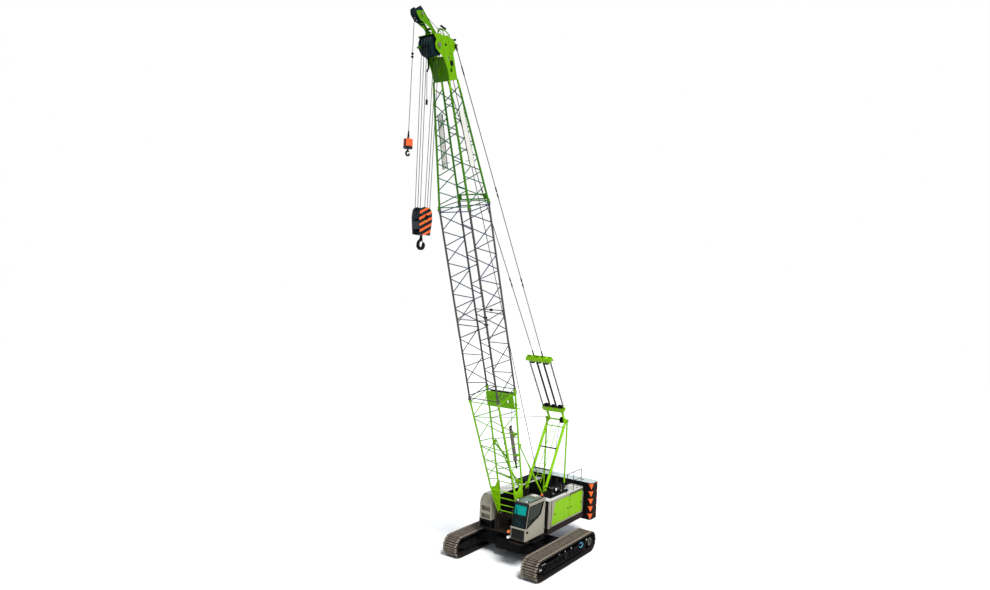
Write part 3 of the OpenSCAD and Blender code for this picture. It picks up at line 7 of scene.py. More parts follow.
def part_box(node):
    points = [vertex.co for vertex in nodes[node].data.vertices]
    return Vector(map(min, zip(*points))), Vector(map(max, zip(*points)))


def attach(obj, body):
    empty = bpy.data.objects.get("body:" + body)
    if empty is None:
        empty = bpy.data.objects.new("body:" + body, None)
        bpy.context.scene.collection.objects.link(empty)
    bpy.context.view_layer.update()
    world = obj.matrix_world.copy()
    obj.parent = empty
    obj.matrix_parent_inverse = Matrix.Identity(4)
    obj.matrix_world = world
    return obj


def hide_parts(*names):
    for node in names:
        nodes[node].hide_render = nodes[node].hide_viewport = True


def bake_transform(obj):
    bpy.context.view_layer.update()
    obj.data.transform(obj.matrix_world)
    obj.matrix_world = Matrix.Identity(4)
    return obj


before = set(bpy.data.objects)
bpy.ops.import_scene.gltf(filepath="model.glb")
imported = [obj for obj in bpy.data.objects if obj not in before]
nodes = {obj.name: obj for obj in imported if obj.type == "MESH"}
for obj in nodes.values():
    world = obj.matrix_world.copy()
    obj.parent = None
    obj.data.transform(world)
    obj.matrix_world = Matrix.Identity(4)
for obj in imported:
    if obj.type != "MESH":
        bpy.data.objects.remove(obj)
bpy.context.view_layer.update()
print("stage: frame loaded,", len(nodes), "nodes")

# Where things stand, in metres, as in the part's source
crane = {
    "trackLen": 6.1, "trackH": 1.01, "gauge": 4.53, "shoes": 60, "shoeT": 0.06, "footX": 1.184, "footZ": 2.187,
    "boomAngle": 70.8, "baseLen": 6.5, "insertLen": 9.0, "topLen": 5.26, "boomW": 1.6, "boomD": 1.47,
    "footHalf": 0.665, "headW": 0.814, "headD": 0.566, "footLen": 1.6, "footD": 0.65, "mastX": 3.15,
    "mastZ": 6.42, "lugS": 22.08, "lugN": 0.42, "headS": 22.14, "headN": 0.64, "tipS": 23.34, "tipN": 1.09,
    "houseHalf": 1.62, "houseTop": 2.98, "leftIn": 0.83, "deckZ": 1.31, "cabIn": 0.82, "cabOut": 1.61,
    "cabFront": 2.43, "cabBack": 0.6, "cabLow": 1.54, "cabTop": 3.3, "sillUp": 0.59, "weightFront": 3.755,
    "weightT": 0.79, "weightHalf": 2.0, "weightLow": 1.168, "slabH": 0.4, "slabs": 5, "gantryX": 1.19,
    "gantryZ": 2.96, "gantryY": 0.54, "blockDrop": 6.87,
}


def boomPoint(s, y, h):  # s along the boom, y to the left, h towards its back
    a = math.radians(crane["boomAngle"])
    return Vector((crane["footX"] + s * math.cos(a) - h * math.sin(a), y,
                   crane["footZ"] + s * math.sin(a) + h * math.cos(a)))


def axesAt(x, y, z, origin):
    return Matrix([(x[i], y[i], z[i], origin[i]) for i in range(3)] + [(0, 0, 0, 1)])


def frameAt(origin, along, up):  # a place whose X runs along and whose Z points about up
    x = Vector(along).normalized()
    y = Vector(up).cross(x).normalized()
    return axesAt(x, y, x.cross(y), origin)


def circle(count):  # even steps round a circle, as cosine and sine
    return [(math.cos(t), math.sin(t)) for t in (math.tau * k / count for k in range(count))]


def placed(name, data):  # a new object in the scene
    made = bpy.data.objects.new(name, data)
    bpy.context.scene.collection.objects.link(made)
    return made


onBoom = frameAt(boomPoint(0, 0, 0), boomPoint(1, 0, 0) - boomPoint(0, 0, 0),
                 boomPoint(0, 0, 1) - boomPoint(0, 0, 0))

view = {"place": (30.618, 18.171, 13.07), "turn": 0.591, "pitch": -0.001, "roll": 0.05, "lens": 25.38}


def makeCamera():
    data = bpy.data.cameras.new("photoCamera")
    data.lens = view["lens"]
    data.sensor_width = 36
    data.clip_end = 500
    cam = placed("photoCamera", data)
    cp, sp = math.cos(view["pitch"]), math.sin(view["pitch"])
    ahead = Vector((-cp * math.cos(view["turn"]), -cp * math.sin(view["turn"]), sp))
    right = ahead.cross(Vector((0, 0, 1))).normalized()
    up = right.cross(ahead)
    cr, sr = math.cos(view["roll"]), math.sin(view["roll"])
    right, up = right * cr + up * sr, up * cr - right * sr
    cam.matrix_world = axesAt(right, up, -ahead, view["place"])
    bpy.context.scene.camera = cam


makeCamera()
print("stage: camera set")


def mathsNode(kind):
    return lambda self, *others: self.maker.node("ShaderNodeMath", [self, *others], operation=kind)


class Signal:  # a shader socket that can be added, scaled and compared like a number
    def __init__(self, maker, socket):
        self.maker = maker
        self.socket = socket

    __add__, __sub__, __mul__, __truediv__ = map(mathsNode, ("ADD", "SUBTRACT", "MULTIPLY", "DIVIDE"))
    above, below, largest = map(mathsNode, ("GREATER_THAN", "LESS_THAN", "MAXIMUM"))
    size, fraction = map(mathsNode, ("ABSOLUTE", "FRACT"))

    def within(self, low, high):
        return self.above(low) * self.below(high)

    def ramp(self, low, high, outLow=0.0, outHigh=1.0):
        # straight from one range to another, held at its ends
        return self.maker.node("ShaderNodeMapRange", [self, low, high, outLow, outHigh])


class Maker:  # adds nodes to one shader tree; an input is a number, a colour, a Signal or None
    def __init__(self, tree):
        self.tree = tree

    def node(self, kind, inputs=(), output=0, **settings):
        made = self.tree.nodes.new(kind)
        for key, value in settings.items():
            setattr(made, key, value)
        for key, value in (inputs.items() if isinstance(inputs, dict) else enumerate(inputs)):
            self.give(made.inputs[key], value)
        return Signal(self, made.outputs[output])

    def give(self, socket, value):
        if isinstance(value, Signal):
            self.tree.links.new(value.socket, socket)
        elif value is not None:
            socket.default_value = value


class Finish(Maker):  # one material being made
    def __init__(self, name):
        self.material = bpy.data.materials.new(name)
        self.material.use_nodes = True
        super().__init__(self.material.node_tree)
        self.shader = self.tree.nodes["Principled BSDF"]

    def place(self):  # a point of the object, in metres
        return self.node("ShaderNodeTexCoord", output=3)

    def axes(self):
        split = self.node("ShaderNodeSeparateXYZ", [self.place()])
        return [Signal(self, split.socket.node.outputs[i]) for i in range(3)]

    def boomAxes(self):  # distance along the boom and height above its middle line
        x, y, z = self.axes()
        a = math.radians(crane["boomAngle"])
        dx, dz = x - crane["footX"], z - crane["footZ"]
        return dx * math.cos(a) + dz * math.sin(a), y, dz * math.cos(a) - dx * math.sin(a)

    def noise(self, scale, detail=4.0, roughness=0.6):
        return self.node("ShaderNodeTexNoise", [self.place(), None, scale, detail, roughness])

    def mixed(self, share, a, b):  # a and b: a Signal, a name in looks or a colour
        a, b = (looks[c] if isinstance(c, str) else c for c in (a, b))
        a, b = (c if isinstance(c, Signal) else (*c, 1) for c in (a, b))
        return self.node("ShaderNodeMix", {0: share, 6: a, 7: b}, 2, data_type="RGBA")

    def laid(self, tone, zones):  # zones: a function that gives [(share, colour), ...] laid over a tone
        for share, over in (zones(self) if zones else []):
            tone = self.mixed(share, tone, over)
        return tone

    def bump(self, height, strength, distance):
        return self.node("ShaderNodeBump", {"Strength": strength, "Distance": distance, "Height": height})

    def feed(self, **values):
        for key, value in values.items():
            self.give(self.shader.inputs[key.replace("_", " ")], value)
        return self


looks = {
    "green": (0.225, 0.51, 0.0015), "greenDark": (0.13, 0.35, 0.0015), "panelGreen": (0.215, 0.47, 0.001),
    "headGreen": (0.15, 0.38, 0.0015), "headShade": (0.04, 0.14, 0.001), "baseGreen": (0.175, 0.43, 0.001),
    "baseLace": (0.13, 0.37, 0.001), "topLace": (0.012, 0.12, 0.05), "latticeThin": (0.05, 0.045, 0.04),
    "latticeHigh": (0.004, 0.03, 0.085), "sheave": (0.006, 0.02, 0.025), "tipDark": (0.006, 0.018, 0.022),
    "chordGreen": (0.04, 0.185, 0.001), "tipGreen": (0.095, 0.28, 0.0015), "grey": (0.31, 0.285, 0.225),
    "greyDark": (0.215, 0.195, 0.155), "pale": (0.64, 0.64, 0.6), "deck": (0.016, 0.012, 0.01),
    "deckDust": (0.05, 0.038, 0.03), "black": (0.0035, 0.0035, 0.004), "blackDust": (0.016, 0.015, 0.014),
    "lattice": (0.08, 0.072, 0.068), "latticeDark": (0.04, 0.042, 0.048), "weight": (0.016, 0.012, 0.01),
    "weightDark": (0.005, 0.0045, 0.0045), "weightTop": (0.52, 0.58, 0.57), "shoe": (0.25, 0.205, 0.16),
    "shoeDark": (0.03, 0.024, 0.02), "orange": (0.85, 0.13, 0.03), "white": (0.8, 0.8, 0.78),
    "board": (0.7, 0.68, 0.62), "blue": (0.12, 0.42, 0.6), "teal": (0.0, 0.3, 0.26),
    "ironDark": (0.05, 0.045, 0.04),
}


def paint(name, colour, second, rough=0.42, mottle=0.35, grain=0.0006, zones=None, shine=0.09):
    f = Finish(name)
    broad = f.noise(0.9, 5.0, 0.62)
    fine = f.noise(14.0, 4.0, 0.7)
    share = (broad.ramp(0.42, 0.75) * mottle) + (fine.ramp(0.55, 0.8) * (mottle * 0.5))
    f.feed(Base_Color=f.laid(f.mixed(share, colour, second), zones),
           Roughness=fine.ramp(0.3, 0.7, rough - 0.08, rough + 0.14),
           Normal=f.bump(f.noise(220.0, 2.0), 0.12, grain), Specular_IOR_Level=shine)
    return f.material


def dustyPaint(name, colour, dust, low, high, rough=0.6, zones=None):
    # dust gathers low down and in patches
    f = Finish(name)
    z = f.axes()[2]
    patch = f.noise(2.2, 6.0, 0.65)
    fine = f.noise(30.0, 4.0, 0.7)
    share = (patch.ramp(0.35, 0.72) * z.ramp(low, high, 1.0, 0.25)) * 0.6 + fine.ramp(0.5, 0.8) * 0.15
    f.feed(Base_Color=f.laid(f.mixed(share, colour, dust), zones),
           Roughness=patch.ramp(0.3, 0.7, rough, rough + 0.25), Normal=f.bump(fine, 0.2, 0.002),
           Specular_IOR_Level=0.08)
    return f.material


def wornSteel(name, bright, dark, rough=0.5, metallic=0.55):
    f = Finish(name)
    patch = f.noise(5.0, 6.0, 0.7)
    fine = f.noise(60.0, 5.0, 0.75)
    share = patch.ramp(0.3, 0.72) * 0.7 + fine.ramp(0.4, 0.75) * 0.3
    f.feed(Base_Color=f.mixed(share, bright, dark), Metallic=fine.ramp(0.35, 0.6, metallic, metallic * 0.3),
           Roughness=patch.ramp(0.3, 0.7, rough, rough + 0.25), Normal=f.bump(fine, 0.35, 0.003),
           Specular_IOR_Level=0.25)
    return f.material


def wireRope(name, dark, light):
    f = Finish(name)
    strand = f.noise(180.0, 2.0)
    greased = f.noise(1.1, 4.0).ramp(0.42, 0.62)
    f.feed(Base_Color=f.mixed(strand * 0.4 + greased * 0.6, dark, light),
           Roughness=strand.ramp(0.3, 0.7, 0.5, 0.8), Metallic=0.2, Normal=f.bump(strand, 0.5, 0.002))
    return f.material


def tintedGlass(name, colour, clear, zones=None):
    f = Finish(name)
    dust = f.noise(3.0, 5.0)
    tone = f.mixed(dust.ramp(0.45, 0.8), colour, tuple(min(1, c * 1.6 + 0.01) for c in colour))
    f.feed(Base_Color=f.laid(tone, zones), Roughness=dust.ramp(0.4, 0.8, 0.04, 0.12),
           Alpha=dust.ramp(0.3, 0.8, clear, clear + 0.08), Coat_Weight=0.05, Coat_Roughness=0.03,
           Specular_IOR_Level=0.2)
    return f.material


def lampGlass(name, colour, glow):
    f = Finish(name)
    cell = f.noise(60.0, 1.0)
    f.feed(Base_Color=f.mixed(cell.ramp(0.35, 0.65), colour, tuple(c * 0.6 for c in colour)), Roughness=0.18,
           Emission_Color=(*colour, 1), Emission_Strength=glow, Coat_Weight=0.5)
    return f.material


def houseZones(f):
    x, y, z = f.axes()
    # painted shade: faces inside the houses' outer walls, below the roof and behind x 1.0, are laid black
    inside = y.size().within(0.0, 1.56) * z.below(crane["houseTop"] - 0.02) * x.below(1.0)
    band = x.below(-1.95) * z.within(2.74, 2.905) * y.above(1.5)
    post = x.within(-2.08, -1.88) * z.within(1.72, 2.72) * y.above(1.6)
    foot = x.above(1.2) * z.below(1.8)
    # painted light: the roof faces of the houses are laid pale
    return [(inside, "black"), (band, "ironDark"), (post, "panelGreen"), (foot, "black"),
            (z.above(crane["houseTop"] - 0.008), "pale")]


def cabZones(f):
    x, y, z = f.axes()
    sill = crane["cabLow"] + crane["sillUp"]
    ahead = x - crane["cabFront"] + (z - sill).largest(0.0) * 0.214
    glazed = ahead.above(-0.058) * z.within(sill + 0.02, crane["cabTop"] - 0.05)
    lower = ahead.above(-0.02) * z.below(sill - 0.05) * y.within(crane["cabIn"] + 0.03, crane["cabOut"] - 0.03)
    behind = x.below(crane["cabBack"] + 0.01)
    inner = x.within(crane["cabBack"] + 0.03, crane["cabFront"] - 0.035)
    inner = inner * y.within(crane["cabIn"] + 0.03, crane["cabOut"] - 0.03)
    inner = inner * z.within(crane["cabLow"] + 0.03, crane["cabTop"] - 0.03)
    # the cab roof is laid dark green-grey: the tint of the roof glass, with its painted reflection
    roof = z.above(crane["cabTop"] - 0.03) * x.above(0.9)
    return [(roof, (0.15, 0.165, 0.125)), (glazed, "black"), (lower, (0.02, 0.02, 0.02)), (behind, "black"),
            (inner, (0.02, 0.02, 0.022))]


def screenZones(f):
    x, y, z = f.axes()
    # painted reflection: the upper windscreen is laid teal and the glass above z 3.2 pale green-grey; the side
    # glass is laid near black
    return [(x.above(1.9) * z.above(2.72) * y.below(1.56), "teal"), (z.above(3.2), (0.16, 0.26, 0.22)),
            (y.above(1.56), (0.003, 0.01, 0.004))]


def lacing(place, low, high):
    # the thin members between the chords of a section, from (s, half width, half depth) to the next
    s, y, h = place
    wide, deep = ((high[i] - low[i]) / (high[0] - low[0]) for i in (1, 2))
    inward = y.size() - (s - low[0]) * wide
    inside = h.size() - (s - low[0]) * deep
    return inward.below(low[1] - 0.06).largest(inside.below(low[2] - 0.06)) * s.within(low[0], high[0])


def baseZones(f):
    s, y, h = f.boomAxes()
    thin = lacing((s, y, h), (1.9, 0.673, 0.35), (6.45, 0.8, 0.735))
    barrel = s.within(3.015, 4.645) * (y - 0.59).size().below(0.0685) * (h - 0.25).size().below(0.0685)
    rod = s.within(2.5, 3.015) * (y - 0.59).size().below(0.06) * (h - 0.25).size().below(0.06)
    return [(s.within(1.9, 6.6), "baseGreen"), (thin, "baseLace"), (barrel, (0.15, 0.125, 0.11)), (rod, "black"),
            (s.within(6.3, 6.42) * h.above(0.7), "black")]


def stayAxis(f):  # distance from the gantry head along the stays
    x, y, z = f.axes()
    return (x + crane["mastX"]) * 0.5556 + (z - crane["mastZ"]) * 0.8314


def spreadZones(f):
    t = stayAxis(f)
    return [(t.within(0.91, 1.6), "black"), (t.within(3.2, 3.95), "black")]


def gantryZones(f):
    x, y, z = f.axes()
    dx, dz = x + crane["mastX"], z - crane["mastZ"]
    wheel = (dx * dx + dz * dz).below(0.031) * (y - 0.31).size().below(0.075)
    return [(wheel, "black")]


def insertZones(f):
    s, y, h = f.boomAxes()
    thin = lacing((s, y, h), (6.6, 0.8, 0.735), (15.5, 0.8, 0.735))
    # painted shade: the thin lacing darkens to blue from s 9 to s 12 up the insert
    return [(thin, "latticeThin"), (thin * s.ramp(9.0, 12.0), "latticeHigh"),
            (s.within(6.4, 6.6) * h.above(-0.7), "baseGreen")]


def weightZones(f):
    x, y, z = f.axes()
    top = crane["weightLow"] + crane["slabs"] * crane["slabH"]
    share = ((z - crane["weightLow"]) / crane["slabH"]).fraction()
    inward = (y.size() * -1.0) + crane["weightHalf"]
    rows = [(x.above(-crane["weightFront"] - 0.06), "weightDark")]
    for face in (-crane["weightFront"], -crane["weightFront"] - crane["weightT"]):
        away = (inward - (x - face).size()).size()  # round the corner from the middle of its edge
        near = inward.below(0.45) * (x - face).size().below(0.26)
        rows.append((near, "weightDark"))
        rows.append((near * away.below((share - 0.1) * 0.28) * share.below(0.86), "orange"))
    rows.append((z.above(top - 0.012), "weightTop"))
    return rows


def blockZones(f):
    x, y, z = f.axes()
    stripe = ((x * 0.48 + z) / 0.25).fraction().above(0.57)
    side = y.size().above(0.195)
    return [(side * stripe, "orange"), (y.size().below(0.19) * x.above(9.3), (0.03, 0.04, 0.048))]


def ballZones(f):
    x, y, z = f.axes()
    low = z.below(18.64)
    band = y.size().below(0.05) * z.below(19.2)
    return [(low, (0.012, 0.014, 0.015)), (band, (0.03, 0.034, 0.04))]


def headZones(f):
    s, y, h = f.boomAxes()
    # painted shade: the head's lower front plate under the sheaves is laid dark; below s 20.35 the top section's
    # chords are laid a darker green and its lacing dark teal
    return [(y.size().below(0.4) * s.above(20.5) * h.below(-0.1), "headShade"), (s.below(20.35), "chordGreen"),
            (lacing((s, y, h), (15.5, 0.8, 0.735), (20.4, 0.434, 0.314)), "topLace"),
            (s.within(15.6, 16.0) * h.above(0.6), "chordGreen")]


def tipZones(f):
    s, y, h = f.boomAxes()
    # painted shade: the far plate, shaded by the near plate and the sheave, and the end past s 23.46 are laid
    # dark blue-black; the gap between the plates gets the head's painted shade colour
    return [(y.below(-0.02) * s.above(22.95), "tipDark"), (s.above(23.46), "tipDark"),
            (y.size().below(0.12), "headShade")]


greenPaint = paint("greenPaint", "green", "greenDark")
spreadPaint = paint("spreadPaint", "green", "greenDark", zones=spreadZones)
gantryPaint = paint("gantryPaint", "green", "greenDark", zones=gantryZones)
headPaint = paint("headPaint", "headGreen", "greenDark", zones=headZones)
ballPaint = paint("ballPaint", "orange", (0.6, 0.08, 0.02), mottle=0.3, zones=ballZones)
tipPaint = paint("tipPaint", "tipGreen", "greenDark", zones=tipZones)
sheavePaint = paint("sheavePaint", "sheave", "blackDust", rough=0.5)
basePaint = paint("basePaint", "green", "greenDark", zones=baseZones)
panelPaint = paint("panelPaint", "panelGreen", "green", mottle=0.2)
greyPaint = paint("greyPaint", "grey", "greyDark", mottle=0.25, zones=houseZones)
cabPaint = paint("cabPaint", "grey", "greyDark", mottle=0.2, zones=cabZones)
latticePaint = paint("latticePaint", "lattice", "latticeDark", rough=0.5, zones=insertZones)
blackPaint = paint("blackPaint", "black", "blackDust", rough=0.5, mottle=0.5)
blockPaint = paint("blockPaint", (0.005, 0.014, 0.017), "blackDust", rough=0.5, zones=blockZones)
deckPaint = dustyPaint("deckPaint", "deck", "deckDust", 1.2, 2.4)
underPaint = dustyPaint("underPaint", "black", "blackDust", 0.0, 1.2)
weightPaint = dustyPaint("weightPaint", "weight", "weightDark", 1.1, 3.6, zones=weightZones)
shoeSteel = wornSteel("shoeSteel", "shoe", "shoeDark", 0.6, 0.35)
shoeLight = wornSteel("shoeLight", (0.3, 0.25, 0.2), "shoe", 0.5, 0.3)
shoeBase = wornSteel("shoeBase", (0.014, 0.011, 0.009), (0.006, 0.005, 0.005), 0.7, 0.2)
rollerSteel = wornSteel("rollerSteel", (0.03, 0.026, 0.022), (0.01, 0.009, 0.008), 0.45, 0.5)
bareSteel = wornSteel("bareSteel", (0.42, 0.4, 0.37), (0.2, 0.18, 0.16), 0.3, 0.9)
ropeWire = wireRope("ropeWire", (0.006, 0.006, 0.006), (0.022, 0.022, 0.02))
rustRope = wireRope("rustRope", (0.005, 0.005, 0.006), (0.075, 0.026, 0.012))
cabGlass = tintedGlass("cabGlass", (0.003, 0.013, 0.014), 0.84, zones=screenZones)
drumRope = wireRope("drumRope", (0.03, 0.027, 0.024), (0.15, 0.135, 0.115))
cylinderPaint = paint("cylinderPaint", (0.15, 0.125, 0.11), (0.09, 0.075, 0.065), mottle=0.4)
seatCloth = paint("seatCloth", (0.012, 0.012, 0.014), (0.03, 0.03, 0.034), rough=0.85, grain=0.002)
whitePaint = paint("whitePaint", "white", (0.6, 0.6, 0.57), mottle=0.3)
boardPaint = paint("boardPaint", "board", (0.55, 0.53, 0.48), mottle=0.3)
bluePaint = paint("bluePaint", "blue", (0.06, 0.25, 0.4), mottle=0.3)
rubber = paint("rubber", (0.006, 0.006, 0.006), (0.015, 0.014, 0.013), rough=0.75, grain=0.001)
amberLamp = lampGlass("amberLamp", (0.9, 0.16, 0.02), 0.25)
whiteLamp = lampGlass("whiteLamp", (0.85, 0.85, 0.8), 0.2)
screenGlow = lampGlass("screenGlow", (0.05, 0.3, 0.28), 0.35)

nodeFinish = (
    (underPaint, "car_body cross_beams side_frame_left side_frame_right"), (shoeBase, "track_left track_right"),
    (rollerSteel, "track_rollers idler_wheels drive_wheels engine_block drum_main drum_second drum_luffing"),
    (bareSteel, "slew_ring_fixed hinge_pins"), (deckPaint, "deck_frame"), (greyPaint, "house_left house_right"),
    (panelPaint, "door_left_front door_left_rear door_right_front door_right_rear"),
    (weightPaint, "counterweight"), (blackPaint, "roof_fittings winch_frames main_hook"),
    (cabPaint, "cab_shell cab_door"), (cabGlass, "cab_glass cab_door_glass"), (seatCloth, "cab_seat"),
    (gantryPaint, "gantry_front_legs gantry_rear_legs"), (basePaint, "boom_base"), (latticePaint, "boom_insert"),
    (headPaint, "boom_top"), (sheavePaint, "boom_sheaves"), (tipPaint, "tip_frame"),
    (greenPaint, "backstop_tubes backstop_rods"), (spreadPaint, "lower_spreader upper_spreader"),
    (rustRope, "luffing_ropes"), (ropeWire, "pendants hook_ropes ball_rope"), (blockPaint, "hook_block"),
    (ballPaint, "ball_hook"),
)
for finish, names in nodeFinish:
    for name in names.split():
        nodes[name].data.materials.clear()
        nodes[name].data.materials.append(finish)
print("stage: finishes on", sum(len(names.split()) for _, names in nodeFinish), "nodes")

axes = {"x": Vector((1, 0, 0)), "y": Vector((0, 1, 0)), "z": Vector((0, 0, 1))}


class Piece:  # one mesh, gathered form by form, then carried by a body
    def __init__(self, name, body=None, where=None):
        self.name = name
        self.body = body
        self.where = where
        self.mesh = bmesh.new()
        self.finishes = []

    def solid(self, points, faces, finish, where=None):
        where = where or self.where
        if finish not in self.finishes:
            self.finishes.append(finish)
        made = [self.mesh.verts.new(where @ Vector(p) if where else Vector(p)) for p in points]
        for f in faces:
            self.mesh.faces.new([made[i] for i in f]).material_index = self.finishes.index(finish)
        return self

    def slab(self, outline, low, high, finish, where=None):  # an outline in X and Z, from low to high in Y
        n = len(outline)
        faces = [tuple(range(n)), tuple(range(2 * n - 1, n - 1, -1))]
        faces += [((i + 1) % n, i, n + i, n + (i + 1) % n) for i in range(n)]
        return self.solid([(a, t, b) for t in (low, high) for a, b in outline], faces, finish, where)

    def box(self, low, high, finish, where=None, edge=0.0):
        (x0, x1), (y0, y1), (z0, z1) = (sorted(ends) for ends in zip(low, high))
        e = min(edge, (x1 - x0) / 3, (z1 - z0) / 3)
        outline = [(x0, z0), (x1, z0), (x1, z1), (x0, z1)]
        if e > 0:
            outline = [(x0 + e, z0), (x1 - e, z0), (x1, z0 + e), (x1, z1 - e), (x1 - e, z1), (x0 + e, z1),
                       (x0, z1 - e), (x0, z0 + e)]
        return self.slab(outline, y0, y1, finish, where)

    def tube(self, path, radius, finish, sides=8, where=None, closed=False):
        # radius: one, or a tuple with one for each point
        path = [Vector(p) for p in path]
        n = len(path)
        radii = radius if isinstance(radius, tuple) else [radius] * n
        points, up = [], None
        for i, p in enumerate(path):
            before = path[i - 1] if (i or closed) else p
            after = path[(i + 1) % n] if (i < n - 1 or closed) else p
            along = (after - before).normalized()
            up = up or along.orthogonal().normalized()
            up = (up - along * up.dot(along)).normalized()
            side = along.cross(up)
            points += [p + (up * c + side * s) * radii[i] for c, s in circle(sides)]
        faces = []
        for i in range(n if closed else n - 1):
            a, b = i * sides, ((i + 1) % n) * sides
            faces += [(a + k, a + (k + 1) % sides, b + (k + 1) % sides, b + k) for k in range(sides)]
        if not closed:
            faces += [tuple(range(sides - 1, -1, -1)), tuple((n - 1) * sides + k for k in range(sides))]
        return self.solid(points, faces, finish, where)

    def ring(self, centre, radius, thick, finish, sides=8, steps=28, where=None, axis="y"):
        at = frameAt(centre, axes[axis].orthogonal(), axes[axis])
        path = [at @ Vector((radius * c, radius * s, 0)) for c, s in circle(steps)]
        return self.tube(path, thick, finish, sides, where, closed=True)

    def disc(self, centre, radius, thick, finish, sides=24, where=None, axis="y"):
        half = axes[axis] * thick / 2
        return self.tube([Vector(centre) - half, Vector(centre) + half], radius, finish, sides, where)

    def bare(self):  # the gathered mesh as an object that nothing carries yet
        bmesh.ops.recalc_face_normals(self.mesh, faces=self.mesh.faces)
        mesh = bpy.data.meshes.new(self.name)
        self.mesh.to_mesh(mesh)
        self.mesh.free()
        for finish in self.finishes:
            mesh.materials.append(finish)
        mesh.polygons.foreach_set("use_smooth", [True] * len(mesh.polygons))
        mesh.set_sharp_from_angle(angle=math.radians(38))
        return placed(self.name, mesh)

    def done(self):
        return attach(self.bare(), self.body)


def wire(tree, *rows):  # each row: a node, its output, the next node, its input
    for giver, output, taker, entry in rows:
        tree.links.new(giver.outputs[output], taker.inputs[entry])


nodeKinds = (
    "NodeGroupInput", "NodeGroupOutput", "GeometryNodeObjectInfo", "GeometryNodeInstanceOnPoints",
    "GeometryNodeInputNamedAttribute", "FunctionNodeRandomValue", "ShaderNodeMath", "ShaderNodeMath",
    "GeometryNodeRealizeInstances", "GeometryNodeSetMaterial",
)


def makeRepeater():
    # copies an object onto points, each turned by the point's own attribute
    group = bpy.data.node_groups.new("copyOnPoints", "GeometryNodeTree")
    keys = {}
    for label, kind, value in (("Points", "Geometry", None), ("Copy", "Object", None),
                               ("Size Spread", "Float", 0.0), ("Seed", "Int", 11), ("Finish", "Material", None)):
        socket = group.interface.new_socket(label, in_out="INPUT", socket_type="NodeSocket" + kind)
        if value is not None:
            socket.default_value = value
        keys[label] = socket.identifier
    group.interface.new_socket("Geometry", in_out="OUTPUT", socket_type="NodeSocketGeometry")
    given, out, info, copies, turn, spread, least, most, real, coat = map(group.nodes.new, nodeKinds)
    turn.data_type = "FLOAT_VECTOR"
    turn.inputs["Name"].default_value = "turn"
    least.operation, most.operation = "SUBTRACT", "ADD"
    least.inputs[0].default_value = most.inputs[0].default_value = 1.0
    wire(group, (given, "Points", copies, "Points"), (given, "Copy", info, "Object"),
         (info, "Geometry", copies, "Instance"), (turn, "Attribute", copies, "Rotation"),
         (given, "Size Spread", least, 1), (given, "Size Spread", most, 1), (least, 0, spread, 2),
         (most, 0, spread, 3), (given, "Seed", spread, "Seed"), (spread, 1, copies, "Scale"),
         (copies, "Instances", real, "Geometry"), (real, "Geometry", coat, "Geometry"),
         (given, "Finish", coat, "Material"), (coat, "Geometry", out, "Geometry"))
    return group, keys


repeater, repeaterKeys = makeRepeater()


def repeat(name, body, copy, places, finish, spread=0.0):
    # places are matrices; the copy is removed once its repeats are a plain mesh
    source = copy.bare()
    mesh = bpy.data.meshes.new(name + "Points")
    mesh.from_pydata([m.to_translation() for m in places], [], [])
    turn = mesh.attributes.new("turn", "FLOAT_VECTOR", "POINT")
    turn.data.foreach_set("vector", [a for m in places for a in m.to_euler()])
    obj = placed(name + "Points", mesh)
    modifier = obj.modifiers.new("copies", "NODES")
    modifier.node_group = repeater
    for label, value in (("Copy", source), ("Size Spread", spread), ("Finish", finish)):
        modifier[repeaterKeys[label]] = value
    bpy.context.view_layer.update()
    whole = bpy.data.meshes.new_from_object(obj.evaluated_get(bpy.context.evaluated_depsgraph_get()))
    whole.name = name
    made = placed(name, whole)
    bpy.data.objects.remove(obj)
    bpy.data.objects.remove(source)
    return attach(made, body)


def bolt(radius, height):
    return Piece("bolt").tube([(0, 0, 0), (0, 0, height)], radius, bareSteel, 6)


# Tracks: pads on the shoes, light teeth at their ends, holes, and the links inside
track = {"padLen": 0.205, "padWide": 0.8, "padHigh": 0.007, "toothHigh": 0.016, "lowest": 0.16}


def shoePlaces(side):
    straight, radius = crane["trackLen"] - crane["trackH"], crane["trackH"] / 2
    inner = radius - crane["shoeT"]
    bend = math.pi * inner
    pitch = (2 * straight + 2 * math.pi * inner) / crane["shoes"]

    def bent(t, end):  # on a round end, t from the middle of the ground
        return end * straight / 2 + radius * math.sin(t), radius - radius * math.cos(t), 180 - math.degrees(t)

    rows = []
    for i in range(crane["shoes"]):
        u = (i + 0.5) * pitch
        if u < straight:
            x, z, a = -straight / 2 + u, 0.0, 180
        elif u < straight + bend:
            x, z, a = bent((u - straight) / inner, 1)
        elif u < 2 * straight + bend:
            x, z, a = straight / 2 - (u - straight - bend), 2 * radius, 0
        else:
            x, z, a = bent(math.pi + (u - 2 * straight - bend) / inner, -1)
        if z > track["lowest"]:
            turn = Matrix.Rotation(math.radians(a), 4, "Y")
            rows.append(Matrix.Translation((x, side * crane["gauge"] / 2, z)) @ turn)
    return rows


